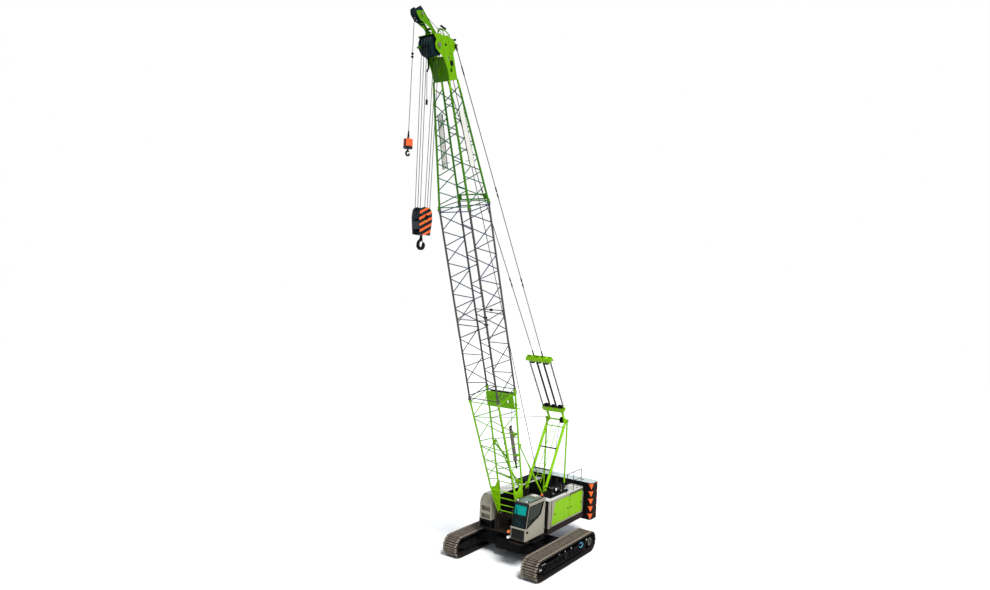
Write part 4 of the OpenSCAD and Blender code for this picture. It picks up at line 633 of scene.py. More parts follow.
def makeTracks():
    half, wide, high, up = track["padLen"] / 2, track["padWide"] / 2, track["padHigh"], track["toothHigh"]
    pad, tooth, hole, link = map(Piece, ("pad", "tooth", "hole", "link"))
    for a, b in ((-half, -0.022), (0.022, half)):
        pad.slab([(a, -0.004), (b, -0.004), (b - 0.008, high), (a + 0.008, high)], -wide, wide, shoeSteel)
    for end in (-wide + 0.035, wide - 0.035):
        for x, side in ((-0.055, 1), (0.055, -1)):
            y = end + side * 0.012
            tooth.slab([(x - 0.04, 0), (x + 0.04, 0), (x + 0.022, up), (x - 0.022, up)], y - 0.055, y + 0.055,
                       shoeLight)
    for y in (-0.27, -0.2, 0.2, 0.27):
        for x in (0.06, -0.06):
            hole.disc((x, y, high), 0.017, 0.004, rubber, 8, axis="z")
    for y in (-0.165, 0.165):
        link.slab([(-0.105, -0.155), (0.105, -0.155), (0.105, -0.075), (0.06, -0.062), (-0.06, -0.062),
                   (-0.105, -0.075)], y - 0.012, y + 0.012, rollerSteel)
        for x in (-0.06, 0.06):
            link.disc((x, y, -0.115), 0.026, 0.045, bareSteel, 10)
    places = shoePlaces(1) + shoePlaces(-1)
    for name, copy, finish in (("shoePads", pad, shoeSteel), ("shoeTeeth", tooth, shoeLight),
                               ("shoeHoles", hole, rubber), ("trackLinks", link, rollerSteel)):
        repeat(name, "undercarriage", copy, places, finish)


makeTracks()
print("stage: tracks")

# Undercarriage fittings: bolts on the drive housings, covers, hoses, marks, handles and a loop of line
under = {
    "outer": 0.235, "hose": 0.016, "step": 0.03, "boltsR": 0.17, "ringR": 0.66,
    "handle": ((-0.16, 0), (-0.16, 0.14), (0.16, 0.14), (0.16, 0)),
    "loop": ((0.42, 0.02, 0.1), (0.3, 0.1, 0.16), (0.16, 0.1, 0.02), (0.3, 0.06, -0.12), (0.44, 0.02, -0.04)),
}


def makeUnderFittings():
    rows = []
    (low, high), (lowI, highI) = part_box("drive_wheels"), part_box("idler_wheels")
    driveX, idlerX = (low.x + high.x) / 2, (lowI.x + highI.x) / 2
    mid = crane["trackH"] / 2
    p = Piece("frameFittings", "undercarriage")
    for side in (-1, 1):
        face = side * (crane["gauge"] / 2 + under["outer"])

        def plate(x0, x1, out, z0, z1, finish):
            p.box((x0, face, mid + z0), (x1, face + side * out, mid + z1), finish)

        for c, s in circle(12):
            place = (driveX + under["boltsR"] * c, side * high.y - side * 0.006, mid + under["boltsR"] * s)
            rows.append(frameAt(place, (1, 0, 0), (0, side, 0)))
        for x in (-1.85, -0.95, 0.95, 1.85):
            plate(x - 0.09, x + 0.09, 0.02, -0.2, -0.13, blackPaint)
        p.disc((idlerX, face + side * 0.03, mid), 0.115, 0.06, rollerSteel, 20)
        p.disc((idlerX, face + side * 0.065, mid), 0.055, 0.02, bareSteel, 16)
        plate(idlerX - 0.62, idlerX - 0.3, 0.03, 0.11, 0.15, whitePaint)
        p.disc((idlerX - 0.22, face + side * 0.012, mid - 0.06), 0.035, 0.016, whitePaint, 12)
        inner = side * (crane["gauge"] / 2 - under["outer"] - 0.05)
        for dy in (0.0, 0.035, 0.07):
            start = Vector((driveX + 0.45, inner - side * dy, mid + 0.1))
            p.tube([start, start + Vector((0.25, -side * 0.16, 0.07)), start + Vector((0.75, -side * 0.35, 0.02)),
                    Vector((-1.0, side * 1.25, 0.72 + dy)), Vector((-0.62, side * 0.72, 0.8 + dy))],
                   under["hose"], rubber)
        for x in (-0.55, 0.55):
            p.tube([(x + dx, face + side * dy, 0.7) for dx, dy in under["handle"]], under["step"] / 2, blackPaint)
        loop = [(driveX + 0.62 + dx, face + side * dy, mid + 0.04 + dz) for dx, dy, dz in under["loop"]]
        p.tube(loop, 0.022, bluePaint)
        for x, up in ((0.62, 0.2), (0.02, 0.2), (-0.62, 0.22)):
            plate(x - 0.05, x + 0.02, 0.025, up - 0.1, up, whitePaint)
        plate(driveX + 0.1, driveX + 0.26, 0.02, 0.1, 0.17, whitePaint)
    p.done()
    rows += [Matrix.Translation((under["ringR"] * c, under["ringR"] * s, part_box("car_body")[1].z - 0.002))
             for c, s in circle(24)]
    repeat("frameBolts", "undercarriage", bolt(0.022, 0.022), rows, bareSteel, spread=0.03)


makeUnderFittings()
print("stage: undercarriage fittings")

# Cab: seals, handles, wiper, lamps, roof pieces, and the screens and levers inside
cab = {"seal": 0.014, "rail": 0.016, "lampSize": 0.075, "split": 2.58}


def rakedX(z):  # the cab's front face at height z
    sill = crane["cabLow"] + crane["sillUp"]
    return crane["cabFront"] - max(z - sill, 0) * 0.25 / (crane["cabTop"] - sill)


def makeCab():
    inY, outY, front, back = crane["cabIn"], crane["cabOut"], crane["cabFront"], crane["cabBack"]
    low, top = crane["cabLow"], crane["cabTop"]
    sill = low + crane["sillUp"]
    p = Piece("cabTrim", "upperworks")
    # windscreen: seal round it, a divider, and the wiper with its blade
    y0, y1, z0, z1 = inY + 0.062, outY - 0.062, sill + 0.035, top - 0.135
    seal = [(rakedX(z) + 0.006, y, z) for y, z in ((y0, z0), (y1, z0), (y1, z1), (y0, z1))]
    p.tube(seal, cab["seal"], rubber, 6, closed=True)
    split = cab["split"]
    p.box((rakedX(split) - 0.03, inY + 0.06, split - 0.018), (rakedX(split) + 0.01, outY - 0.06, split + 0.018),
          rubber)
    p.tube([(rakedX(2.25) + 0.03, 1.18, 2.25), (rakedX(2.5) + 0.04, 1.12, 2.5),
            (rakedX(2.95) + 0.035, 1.02, 2.95)], 0.009, rubber, 6)
    p.box((rakedX(2.9) + 0.02, 1.0, 2.62), (rakedX(2.9) + 0.035, 1.02, 3.05), rubber)
    # sill rail, lower grille, and two lamps on a post
    p.box((front - 0.01, inY - 0.005, sill - 0.055), (front + 0.025, outY + 0.005, sill + 0.012), greyPaint,
          edge=0.01)
    for k in range(7):
        z = low + 0.12 + 0.055 * k
        p.box((front - 0.004, inY + 0.1, z), (front + 0.008, outY - 0.1, z + 0.018), rubber)
    p.tube([(front - 0.05, inY - 0.05, low + 0.62), (front + 0.03, inY - 0.08, low + 0.6),
            (front + 0.03, inY - 0.08, low)], 0.018, blackPaint)
    size = cab["lampSize"]
    for z, wide, thick, glass, out, rim in ((0.34, 1, 0.07, amberLamp, 0.092, 0.008),
                                            (0.07, 0.95, 0.08, whiteLamp, 0.095, 0.009)):
        p.disc((front + 0.055, inY - 0.08, low + z), size * wide, thick, glass, 18, axis="x")
        p.ring((front + out, inY - 0.08, low + z), size, rim, rubber, 6, 20, axis="x")
    # roof: gutter rails, two work lamps, beacon, aerial and vent
    for y in (inY + 0.015, outY - 0.015):
        p.tube([(back + 0.05, y, top + 0.012), (front - 0.42, y, top + 0.012), (front - 0.29, y, top - 0.03)],
               0.016, blackPaint, 6)
    for y in (inY + 0.15, outY - 0.15):
        p.box((front - 0.38, y - 0.06, top + 0.012), (front - 0.3, y + 0.06, top + 0.09), blackPaint, edge=0.012)
        p.box((front - 0.302, y - 0.05, top + 0.02), (front - 0.296, y + 0.05, top + 0.08), whiteLamp)
    x, y = back + 0.14, outY - 0.14
    p.disc((x, y, top + 0.03), 0.055, 0.05, blackPaint, 16, axis="z")
    p.tube([(x, y, top + 0.05), (x, y, top + 0.13), (x, y, top + 0.15)], (0.048, 0.044, 0.025), amberLamp, 16)
    p.tube([(back + 0.1, inY + 0.12, top), (back + 0.09, inY + 0.12, top + 0.42)], 0.005, blackPaint, 6)
    p.box((back + 0.16, inY + 0.24, top + 0.002), (back + 0.44, outY - 0.32, top + 0.05), greyPaint, edge=0.015)
    # grab rail behind the door, and the step below it on two brackets
    p.tube([(back - 0.02, outY + y, low + z) for y, z in ((0.01, 0.25), (0.07, 0.3), (0.07, 1.05), (0.01, 1.1))],
           cab["rail"], blackPaint)
    p.box((back + 0.15, outY + 0.01, low - 0.16), (front - 0.55, outY + 0.16, low - 0.13), blackPaint)
    for x in (back + 0.25, front - 0.65):
        p.box((x, outY - 0.05, low - 0.17), (x + 0.04, outY + 0.15, low - 0.12), blackPaint)
    p.done()
    q = Piece("cabInside", "upperworks")
    mid = (inY + outY) / 2
    q.box((front - 0.5, mid - 0.28, low + 0.62), (front - 0.36, mid + 0.24, low + 0.86), rubber, edge=0.02)
    q.box((front - 0.512, mid - 0.22, low + 0.66), (front - 0.5, mid + 0.02, low + 0.83), screenGlow)
    q.tube([(front - 0.42, inY + 0.12, low + 0.65), (front - 0.36, inY + 0.1, low + 1.1)], 0.014, rubber)
    q.box((front - 0.4, inY + 0.06, low + 1.02), (front - 0.35, inY + 0.3, low + 1.22), rubber, edge=0.01)
    q.box((front - 0.412, inY + 0.08, low + 1.04), (front - 0.4, inY + 0.28, low + 1.2), screenGlow)
    for y in (mid - 0.36, mid + 0.3):
        q.box((back + 0.45, y - 0.06, low + 0.5), (back + 0.98, y + 0.06, low + 0.66), seatCloth, edge=0.02)
        for x in (back + 0.8, back + 0.9):
            q.tube([(x, y, low + 0.65), (x + 0.02, y, low + 0.8)], 0.01, rubber)
            q.tube([(x + 0.02, y, low + 0.79), (x + 0.022, y, low + 0.84)], 0.02, rubber, 10)
    q.box((back + 0.33, mid - 0.13, low + 1.22), (back + 0.42, mid + 0.13, low + 1.42), seatCloth, edge=0.03)
    q.done()
    d = Piece("cabDoorTrim", "cab_side_door")
    g = 0.012
    outline = [(front - 0.108 - g, sill - 0.01 + g), (front - 0.318 - g, top - 0.17 - g),
               (back + 0.15 + g, top - 0.17 - g), (back + 0.42 + g, top - 0.76 + g)]
    for y, thick in ((outY + 0.003, cab["seal"] * 1.3), (outY - 0.052, cab["seal"])):
        d.tube([(x, y, z) for x, z in outline], thick, rubber, 6, closed=True)
    d.box((front - 0.26, outY - 0.004, low + 0.36), (front - 0.12, outY + 0.018, low + 0.46), rubber, edge=0.02)
    handle = ((-0.24, 0.012), (-0.24, 0.05), (-0.14, 0.05), (-0.14, 0.012))
    d.tube([(front + x, outY + y, low + 0.41) for x, y in handle], 0.01, rubber)
    d.box((back + 0.62, outY - 0.004, sill + 0.28), (front - 0.25, outY + 0.01, sill + 0.3), rubber)
    d.done()


makeCab()
print("stage: cab")

# Houses: louvres, edge strips, lifting eyes, and the seams and latches of the doors
house = {"doorLow": 1.69, "doorHigh": 2.84, "split": -1.93, "rear": -3.38, "seam": 0.006, "louvres": 9}


def makeHouses():
    out, top = crane["houseHalf"], crane["houseTop"]
    p = Piece("houseTrim", "upperworks")
    for side in (-1, 1):
        y0, y1 = sorted((side * (out - 0.002), side * (out + 0.012)))
        p.box((house["rear"] - 0.05, y0, house["doorHigh"] + 0.03), (-0.42, y1, house["doorHigh"] + 0.055),
              greyPaint)
        p.box((-3.6, y0, 1.6), (-0.05, y1, 1.625), blackPaint)
        p.box((-3.5, y0, 1.66), (-3.48, y1, 2.86), greyPaint)
        for k in range(house["louvres"]):
            z = 1.76 + 0.11 * k
            if side > 0 and z < 2.62:
                p.box((-0.02, y0, z), (0.13, y1 + 0.004, z + 0.045), greyPaint)
    p.box((-0.04, out - 0.06, 1.62), (-0.005, out + 0.018, top - 0.02), blackPaint)
    for k in range(6):
        z = 1.72 + 0.2 * k
        p.box((0.2, crane["leftIn"] + 0.08, z), (0.212, out - 0.08, z + 0.12), rubber)
    # feet of the rear rail on the left roof, and lifting eyes
    for x in (-3.58, -3.02):
        p.tube([(x, 1.5, top), (x, 1.5, top + 0.02)], 0.05, blackPaint, 10)
    for x in (-3.4, -0.7):
        p.ring((x, 1.32, top + 0.045), 0.038, 0.012, blackPaint, 6, 16)
    p.done()
    for body in ("left_front_door", "left_rear_door", "right_front_door", "right_rear_door"):
        side, front = 1 if "left" in body else -1, "front" in body
        x0, x1 = (house["split"], -0.1) if front else (house["rear"], house["split"] - 0.1)
        d = Piece(body + "Trim", body)
        y0, y1 = sorted((side * (out - 0.001), side * (out + 0.007)))
        zl, zh = house["doorLow"] + 0.03, house["doorHigh"] - 0.03
        cut = [(x0 + 0.03, zl), (x1 - (0.05 if front else 0.03), zl), (x1 - (0.365 if front else 0.03), zh),
               (x0 + 0.03, zh)]
        d.tube([(x, side * (out + 0.001), z) for x, z in cut], 0.006, panelPaint, 6, closed=True)
        for share in ((0.33, 0.64) if front else (0.5,)):
            x = x0 + (x1 - x0) * share
            d.box((x, y0, zl), (x + house["seam"], y1 - 0.003 if side > 0 else y1, zh), greenPaint)
        d.box((x0 + 0.06, y0, 2.28), (x1 - 0.25, y1 - 0.003 if side > 0 else y1, 2.286), greenPaint)
        for x in ((x1 - 0.3, x0 + 0.12) if front else (x0 + 0.1, x1 - 0.12)):
            d.box((x - 0.045, y0, 2.16), (x + 0.045, y1 + side * 0.008 if side > 0 else y1, 2.24), rubber,
                  edge=0.012)
            d.disc((x, side * (out + 0.012), 2.2), 0.016, 0.014, bareSteel, 12)
        d.done()


makeHouses()

# Deck: pipes, a valve bank and a tank between the houses, and a guide roller stand
deck = {"pipe": 0.022, "pipes": 9}


def makeDeck():
    p = Piece("deckPipes", "upperworks")
    base = crane["deckZ"] + 0.061
    for k in range(deck["pipes"]):
        y = -0.62 + 0.155 * k
        p.tube([(-3.3, y, base + 0.05), (-2.95, y, base + 0.05), (-2.8, y, base + 0.3),
                (-2.72, y * 0.7, base + 0.42)], deck["pipe"], rubber)
        p.tube([(-1.25, y, base + 0.04), (-1.0, y, base + 0.1), (-0.92, y * 0.8, base + 0.26)], deck["pipe"],
               rubber)
    p.box((-1.55, -0.55, base), (-1.2, 0.55, base + 0.34), blackPaint, edge=0.02)
    for k in range(8):
        p.disc((-1.37, -0.48 + 0.137 * k, base + 0.36), 0.035, 0.06, bareSteel, 12, axis="z")
    p.box((-3.45, -0.45, base), (-3.05, 0.45, base + 0.4), blackPaint, edge=0.02)
    # a guide roller stand for the hoist rope in front of the rear drum
    for y in (-0.42, 0.22):
        p.slab([(-2.02, base), (-1.62, base), (-1.78, base + 1.1), (-1.86, base + 1.1)], y - 0.012, y + 0.012,
               blackPaint)
    p.disc((-1.82, -0.1, base + 1.04), 0.05, 0.62, bareSteel, 16)
    # a dark block on each side of the front edge
    for side in (-1, 1):
        p.box((1.4, side * 0.62 - 0.05, crane["deckZ"] - 0.1), (1.49, side * 0.62 + 0.05, crane["deckZ"]),
              blackPaint, edge=0.01)
    p.done()


makeDeck()
print("stage: houses and deck")

# Roof: clamps, pipes and caps on the exhaust unit, walkway bars and the locker
roof = {"clamp": 0.008, "cap": 0.075, "bars": 0.075}


def makeRoof():
    p = Piece("roofPipes", "upperworks")
    mid, top = crane["leftIn"] + 0.33, crane["houseTop"]
    for x in (-1.92, -1.62, -1.3, -1.02):
        p.ring((x, mid, top + 0.25), 0.154, roof["clamp"], bareSteel, 6, axis="x")
    p.disc((-0.99, mid + 0.155, top + 0.3), roof["cap"], 0.02, whitePaint, 20)
    p.tube([(-1.25, mid, top + 0.52), (-1.25, mid, top + 0.6), (-1.28, mid, top + 0.68),
            (-1.37, mid, top + 0.72)], 0.058, rubber, 14)
    for k in range(4):
        y = mid - 0.11 + 0.075 * k
        p.tube([(-2.0, y, top + 0.42), (-1.7, y + 0.02, top + 0.45), (-1.2, y - 0.02, top + 0.44),
                (-0.9, y + 0.03, top + 0.4), (-0.55, y + 0.05, top + 0.22), (-0.3, y, top + 0.05)], 0.02, rubber)
    for x in (-1.8, -1.45, -0.62):
        p.disc((x, mid + 0.2, top + 0.16), 0.042, 0.05, bareSteel, 14)
    for k in range(6):
        p.box((-2.14, mid - 0.22 + 0.08 * k, top + 0.064), (-2.02, mid - 0.17 + 0.08 * k, top + 0.1), bluePaint)
    p.ring((-0.7, mid + 0.02, top + 0.42), 0.118, 0.01, bareSteel, 6, 24, axis="z")
    # raised bars of the walkways on both houses
    for y0, y1, x0, x1 in ((crane["leftIn"] + 0.02, 1.56, -3.56, -2.25), (-1.56, -0.94, -3.5, 1.3)):
        for k in range(int((x1 - x0) / roof["bars"])):
            x = x0 + roof["bars"] * k
            p.box((x, y0, top + 0.001), (x + 0.018, y1, top + 0.007), greyPaint)
    # roof locker on the right house with two handles
    p.box((-2.9, -1.45, top + 0.008), (-1.5, -1.02, top + 0.2), blackPaint, edge=0.02)
    for x in (-2.55, -1.9):
        p.ring((x, -1.01, top + 0.14), 0.035, 0.007, bareSteel, 6, 14)
    p.done()


makeRoof()

# Counterweight: seams on the top, lifting eyes, bolts in every slab, corner bars and a block in front
weight = {"eyeR": 0.05, "boltR": 0.055}


def makeWeight():
    p = Piece("weightTrim", "upperworks")
    front, thick, half = crane["weightFront"], crane["weightT"], crane["weightHalf"]
    top = crane["weightLow"] + crane["slabs"] * crane["slabH"]
    for side in (-1, 1):
        for y in (0.28, 0.92, 1.55):
            p.box((-front - 0.6, side * y - 0.008, top - 0.002), (-front - 0.15, side * y + 0.008, top + 0.004),
                  greyPaint)
        p.ring((-front - thick / 2, side * half * 0.62, top - 0.03), weight["eyeR"], 0.012, rubber, 8, 20,
               axis="x")
        for k in range(crane["slabs"]):
            z = crane["weightLow"] + crane["slabH"] * (k + 0.5)
            for x, y in ((-front + 0.002, side * 1.35), (-front - thick - 0.002, side * 0.8)):
                p.disc((x, y, z), weight["boltR"], 0.02, blackPaint, 16, axis="x")
        for x in (-front - 0.08, -front - thick + 0.08):
            p.tube([(x, side * (half - 0.03), crane["weightLow"] + 0.05), (x, side * (half - 0.03), top - 0.05)],
                   0.012, blackPaint, 6)
    p.box((-front, -0.5, crane["weightLow"] + 0.15), (-front + 0.1, 0.5, crane["weightLow"] + 0.55), blackPaint,
          edge=0.03)
    p.done()


makeWeight()
print("stage: roof and counterweight")

# Gantry: dark cross bars, pin ends, sheave rims and the luffing rope down to its drum
gantry = {"sleeve": 0.036, "ropeR": 0.012}


def makeGantry():
    foot = Vector((-crane["gantryX"], 0, crane["gantryZ"]))
    head = Vector((-crane["mastX"], 0, crane["mastZ"]))
    p = Piece("gantryTrim", "upperworks")
    reach = crane["gantryY"] - 0.07
    for share in (0.29, 0.59):
        at = foot.lerp(head, share)
        p.tube([at + Vector((0, -reach, 0)), at + Vector((0, reach, 0))], gantry["sleeve"], blackPaint, 10)
    for side in (-1, 1):
        p.disc(head + Vector((0, side * 0.685, 0)), 0.06, 0.02, bareSteel, 16)
        p.disc(foot + Vector((0, side * (crane["gantryY"] + 0.05), 0)), 0.045, 0.1, bareSteel, 14)
        for share in (0.02, 0.98):
            at = foot.lerp(head, share)
            p.disc(at + Vector((0, side * crane["gantryY"], 0)), 0.085, 0.12, greenPaint, 20)
    for y in (0.27, 0.35):
        for edge in (-0.03, 0.03):
            p.ring(head + Vector((0, y + edge, 0)), 0.16, 0.006, blackPaint, 6, 32)
    # luffing rope: off the drum in front of the rear legs, up to the head sheave
    p.tube([(-1.99, 0.27, 1.9), head + Vector((0.162, 0.27, 0.0))], gantry["ropeR"], ropeWire)
    p.tube([head + Vector((0.0, 0.35, 0.165)), head + Vector((0.0, 0.27, 0.165))], gantry["ropeR"], ropeWire)
    p.done()


makeGantry()

# Winches: rope laid on each drum, and the bolts of its flanges
winch = {"pitch": 0.026, "steps": 28}


def makeDrumRope(node, body):
    low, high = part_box(node)
    x, z = (low.x + high.x) / 2, (low.z + high.z) / 2
    p = Piece(node + "Rope", body)
    outer, pitch, steps = (high.x - low.x) / 2, winch["pitch"], winch["steps"]
    radius = outer - 0.032
    turns = int(0.5 / pitch)
    path = []
    for k in range(turns * steps + 1):
        t = math.tau * k / steps
        path.append((x + radius * math.cos(t), -turns * pitch / 2 + pitch * k / steps, z + radius * math.sin(t)))
    p.tube(path, pitch / 2, drumRope, 6)
    for side in (-1, 1):
        y = side * (high.y - low.y) / 2 * 0.94
        for c, s in circle(8):
            p.disc((x + c * outer * 0.9, y, z + s * outer * 0.9), 0.018, 0.05, bareSteel, 6)
    p.done()


for node, body in (("drum_main", "main_drum"), ("drum_second", "second_drum"), ("drum_luffing", "luffing_drum")):
    makeDrumRope(node, body)
print("stage: gantry and winches")

# Boom: pins at the section joints, the cross frame, boards, cable and guide roller box
boom = {"pinR": 0.03, "boardPlate": 0.012, "cableR": 0.012, "cableEnds": (1.7, 20.6), "frameS": 10.5}


def boomHalf(s):  # half width and half depth of the lattice at s
    full = (crane["boomW"] / 2, crane["boomD"] / 2)
    foot = (crane["footHalf"], crane["footD"] / 2)
    head = (crane["headW"] / 2, crane["headD"] / 2)
    joint = crane["baseLen"] + crane["insertLen"]
    if s < crane["baseLen"]:
        t = (s - crane["footLen"]) / (crane["baseLen"] - crane["footLen"])
        return tuple(a + (b - a) * t for a, b in zip(foot, full))
    if s < joint:
        return full
    t = (s - joint) / crane["topLen"]
    return tuple(a + (b - a) * t for a, b in zip(full, head))


def makeBoom():
    p = Piece("boomJoints", "boom", onBoom)
    for s in (crane["baseLen"], crane["baseLen"] + crane["insertLen"]):
        w, d = boomHalf(s)
        for y in (-w, w):
            for h in (-d, d):
                p.tube([(s, y - 0.07, h), (s, y + 0.07, h)], boom["pinR"], blackPaint, 10)
                for dy in (-0.074, 0.074):
                    p.disc((s, y + dy, h), 0.042, 0.016, bareSteel, 12)
                p.tube([(s - 0.085, y, h), (s + 0.085, y, h)], 0.058, blackPaint if s > 10 else greenPaint, 12)
    # a cross frame about half way up the insert, with cable brackets on one chord and a roller
    s, (w, d) = boom["frameS"], boomHalf(boom["frameS"])
    corners = [(s, -w, -d), (s, w, -d), (s, w, d), (s, -w, d)]
    for k in range(4):
        p.tube([corners[k], corners[(k + 1) % 4]], 0.02, latticePaint)
    for away in (-0.2, 0.14):
        p.box((s + away, w - 0.1, -d - 0.05), (s + away + 0.07, w + 0.07, -d + 0.05), blackPaint, edge=0.015)
    p.disc((s, 0.1, d), 0.06, 0.12, rubber, 14)
    p.done()
    # blank boards on both sides of the top section
    q = Piece("boomBoards", "boom")
    for side, s0, s1, h0, h1 in ((1, 17.2, 19.57, -0.13, 0.2), (-1, 17.15, 19.45, -0.15, 0.17)):
        y0, y1 = (side * (boomHalf(s)[0] + 0.055) for s in (s0, s1))
        along = Vector((s1, y1, 0)) - Vector((s0, y0, 0))
        place = onBoom @ frameAt((s0, y0, (h0 + h1) / 2), along, (0, 0, 1))
        long, high, plate = along.length, (h1 - h0) / 2, boom["boardPlate"]
        q.box((0, -plate, -high), (long, plate, high), boardPaint, place, edge=0.02)
        for z in (-high, high):
            dark = side * z < 0
            t = 0.022 if dark and side < 0 else 0.009
            q.box((-0.01, -0.016, z - t), (long + 0.01, 0.016, z + t), blackPaint if dark else headPaint, place)
        for x in (0.25, long / 2, long - 0.25):
            q.tube([(x, -side * y, high * z) for y, z in ((0.02, 0.9), (0.1, 1.6), (0.1, -1.6), (0.02, -0.9))],
                   0.012, headPaint, 6, place)
    q.done()
    # cable with clips along the left front chord; a cylinder, a wheel and a line in the base section
    c = Piece("boomCable", "boom", onBoom)
    path, (s0, s1) = [], boom["cableEnds"]
    for k in range(24):
        s = s0 + (s1 - s0) * k / 23
        w, d = boomHalf(s)
        path.append((s, w - 0.065, -d + 0.02))
    c.tube(path, boom["cableR"], rubber, 6)
    for k in range(30):
        s = 1.9 + 0.62 * k
        w, d = boomHalf(s)
        c.disc((s, w - 0.045, -d + 0.01), 0.05, 0.02, rubber, 10, axis="x")
    c.tube([(3.3, 0.55, 0.42), (4.78, 0.58, 0.36), (5.64, 0.55, 0.62)], 0.01, ropeWire, 6)
    for radius, thick, finish, sides in ((0.105, 0.05, rubber, 20), (0.055, 0.07, bareSteel, 14)):
        c.disc((4.78, 0.59, 0.25), radius, thick, finish, sides)
    c.tube([(s, 0.59, 0.25) for s in (3.03, 3.05, 4.61, 4.63)], (0.069, 0.088, 0.088, 0.069), cylinderPaint, 24)
    w, d = boomHalf(5.62)
    c.tube([(5.62, w, d), (5.62, w + 0.2, d)], 0.028, greenPaint, 10)
    for s in (3.1, 4.55):
        c.ring((s, 0.59, 0.25), 0.088, 0.009, rubber, 6, 20, axis="x")
    c.done()
    # rollers, slot plates and bolts at the guide roller box
    r = Piece("rollerBoxTrim", "boom", onBoom)
    for k in range(4):
        y = (k - 1.5) * 0.32
        for dy in (-0.12, 0.12):
            r.ring((6.265, y + dy, 0.815), 0.052, 0.008, bareSteel, 6, 20)
        r.box((5.9, y - 0.09, 0.66), (6.05, y + 0.09, 0.675), rubber)
    for k in range(10):
        r.disc((5.66, -0.62 + 0.138 * k, 0.74), 0.014, 0.03, bareSteel, 6, axis="x")
    r.done()


makeBoom()
print("stage: boom")

# Head and tip: lamps, limit switch, pin caps, guard hoops, guide wheel and cheek bolts
head = {
    "capR": 0.085, "hoopY": 0.317, "guide": (22.331, 0.0, 0.405), "guideR": 0.13, "tipR": 0.235,
    "lever": ((21.8, -0.2, -0.64), (21.34, -0.2, -0.72), (21.2, -0.2, -0.87)),
    "hoop": ((22.58, -0.46), (22.7, -0.33), (22.735, -0.15), (22.7, 0.0), (22.6, 0.17), (22.46, 0.33)),
}


def makeHead():
    s0, n = crane["headS"], crane["headN"]
    face = crane["headW"] / 2 + 0.031
    p = Piece("headTrim", "boom", onBoom)
    for side in (-1, 1):
        p.disc((s0, side * (face + 0.03), -n), head["capR"], 0.03, bareSteel, 22)
        p.disc((crane["lugS"], side * (face + 0.055), crane["lugN"]), 0.032, 0.13, blackPaint, 16)
        p.disc((crane["tipS"], side * 0.215, -crane["tipN"]), 0.05, 0.03, bareSteel, 16)
        for c, s in circle(6):
            p.disc((s0 + 0.065 * c, side * (face + 0.048), -n + 0.065 * s), 0.01, 0.012, rubber, 6)
    p.box((22.26, 0.35, 0.49), (22.34, 0.43, 0.57), blackPaint, edge=0.015)
    p.tube([(22.3, 0.39, 0.3), (22.3, 0.39, 0.5)], 0.012, blackPaint)
    p.box((22.34, 0.36, 0.5), (22.345, 0.42, 0.56), whiteLamp)
    p.box((22.09, -0.3, -1.13), (22.19, -0.18, -1.04), headPaint, edge=0.02)
    p.tube([(22.15, -0.37, -1.06), (22.15, 0.37, -1.06)], 0.014, blackPaint, 6)
    p.tube([(22.46, -0.3, 0.06), (22.72, -0.3, 0.16)], 0.012, blackPaint, 6)
    p.disc((22.74, -0.3, 0.165), 0.045, 0.05, amberLamp, 14, axis="x")
    p.box((21.3, face - 0.02, -0.06), (21.5, face + 0.04, 0.06), blackPaint, edge=0.02)
    # the lever of the upper limit switch in front of the head
    p.tube(head["lever"], 0.036, blackPaint, 10)
    p.tube([(21.62, -0.2, -0.66), (21.62, -0.2, -0.26)], 0.018, headPaint)
    # guard hoops, the wind lamp on one of them and the guide wheel of the tip rope
    for side in (-1, 1):
        p.tube([(s, side * head["hoopY"], h) for s, h in head["hoop"]], 0.024, headPaint)
    p.tube([(22.865, head["hoopY"], -0.18), (22.735, head["hoopY"], 0.1)], 0.042, blackPaint, 10)
    p.tube([(22.7, head["hoopY"], -0.06), (22.8, head["hoopY"], -0.02)], 0.012, headPaint, 6)
    p.disc(head["guide"], head["guideR"], 0.09, blackPaint)
    s, _, h = head["guide"]
    p.tube([(s, -0.38, h), (s, 0.38, h)], 0.028, headPaint, 10)
    # the second line: round the tip wheel and back to the guide wheel
    tip = boomPoint(crane["tipS"], 0, -crane["tipN"])
    turn = [math.radians(k * 10.8) for k in range(11)]
    path = [tip + Vector((math.cos(t), 0, math.sin(t))) * head["tipR"] for t in turn]
    p.tube(path + [boomPoint(22.434, 0, 0.485)], 0.01, ropeWire, 6, Matrix())
    p.done()


makeHead()

# Stays: sockets and pins on the spreaders and the pendant ends
stays = {"socket": 0.036, "lowY": 0.262, "highY": 0.474, "pins": ((-0.42, 0.05), (0.0, 0.045), (0.42, 0.05))}
mastPin = Vector((-crane["mastX"], 0, crane["mastZ"]))
stayLine = boomPoint(crane["lugS"], 0, crane["lugN"]) - mastPin
onStays = frameAt(mastPin, stayLine, (0, 0, 1))

# Luffing ropes: in three planes past each sheave, drawn out and in between the two spreaders
luffing = {
    "radius": 0.013, "low": 0.84, "high": 4.02, "planes": (-0.05, 0.0, 0.05),
    "sheaves": ((-0.42, 0.4), (0.0, 0.34), (0.42, 0.4)),
}


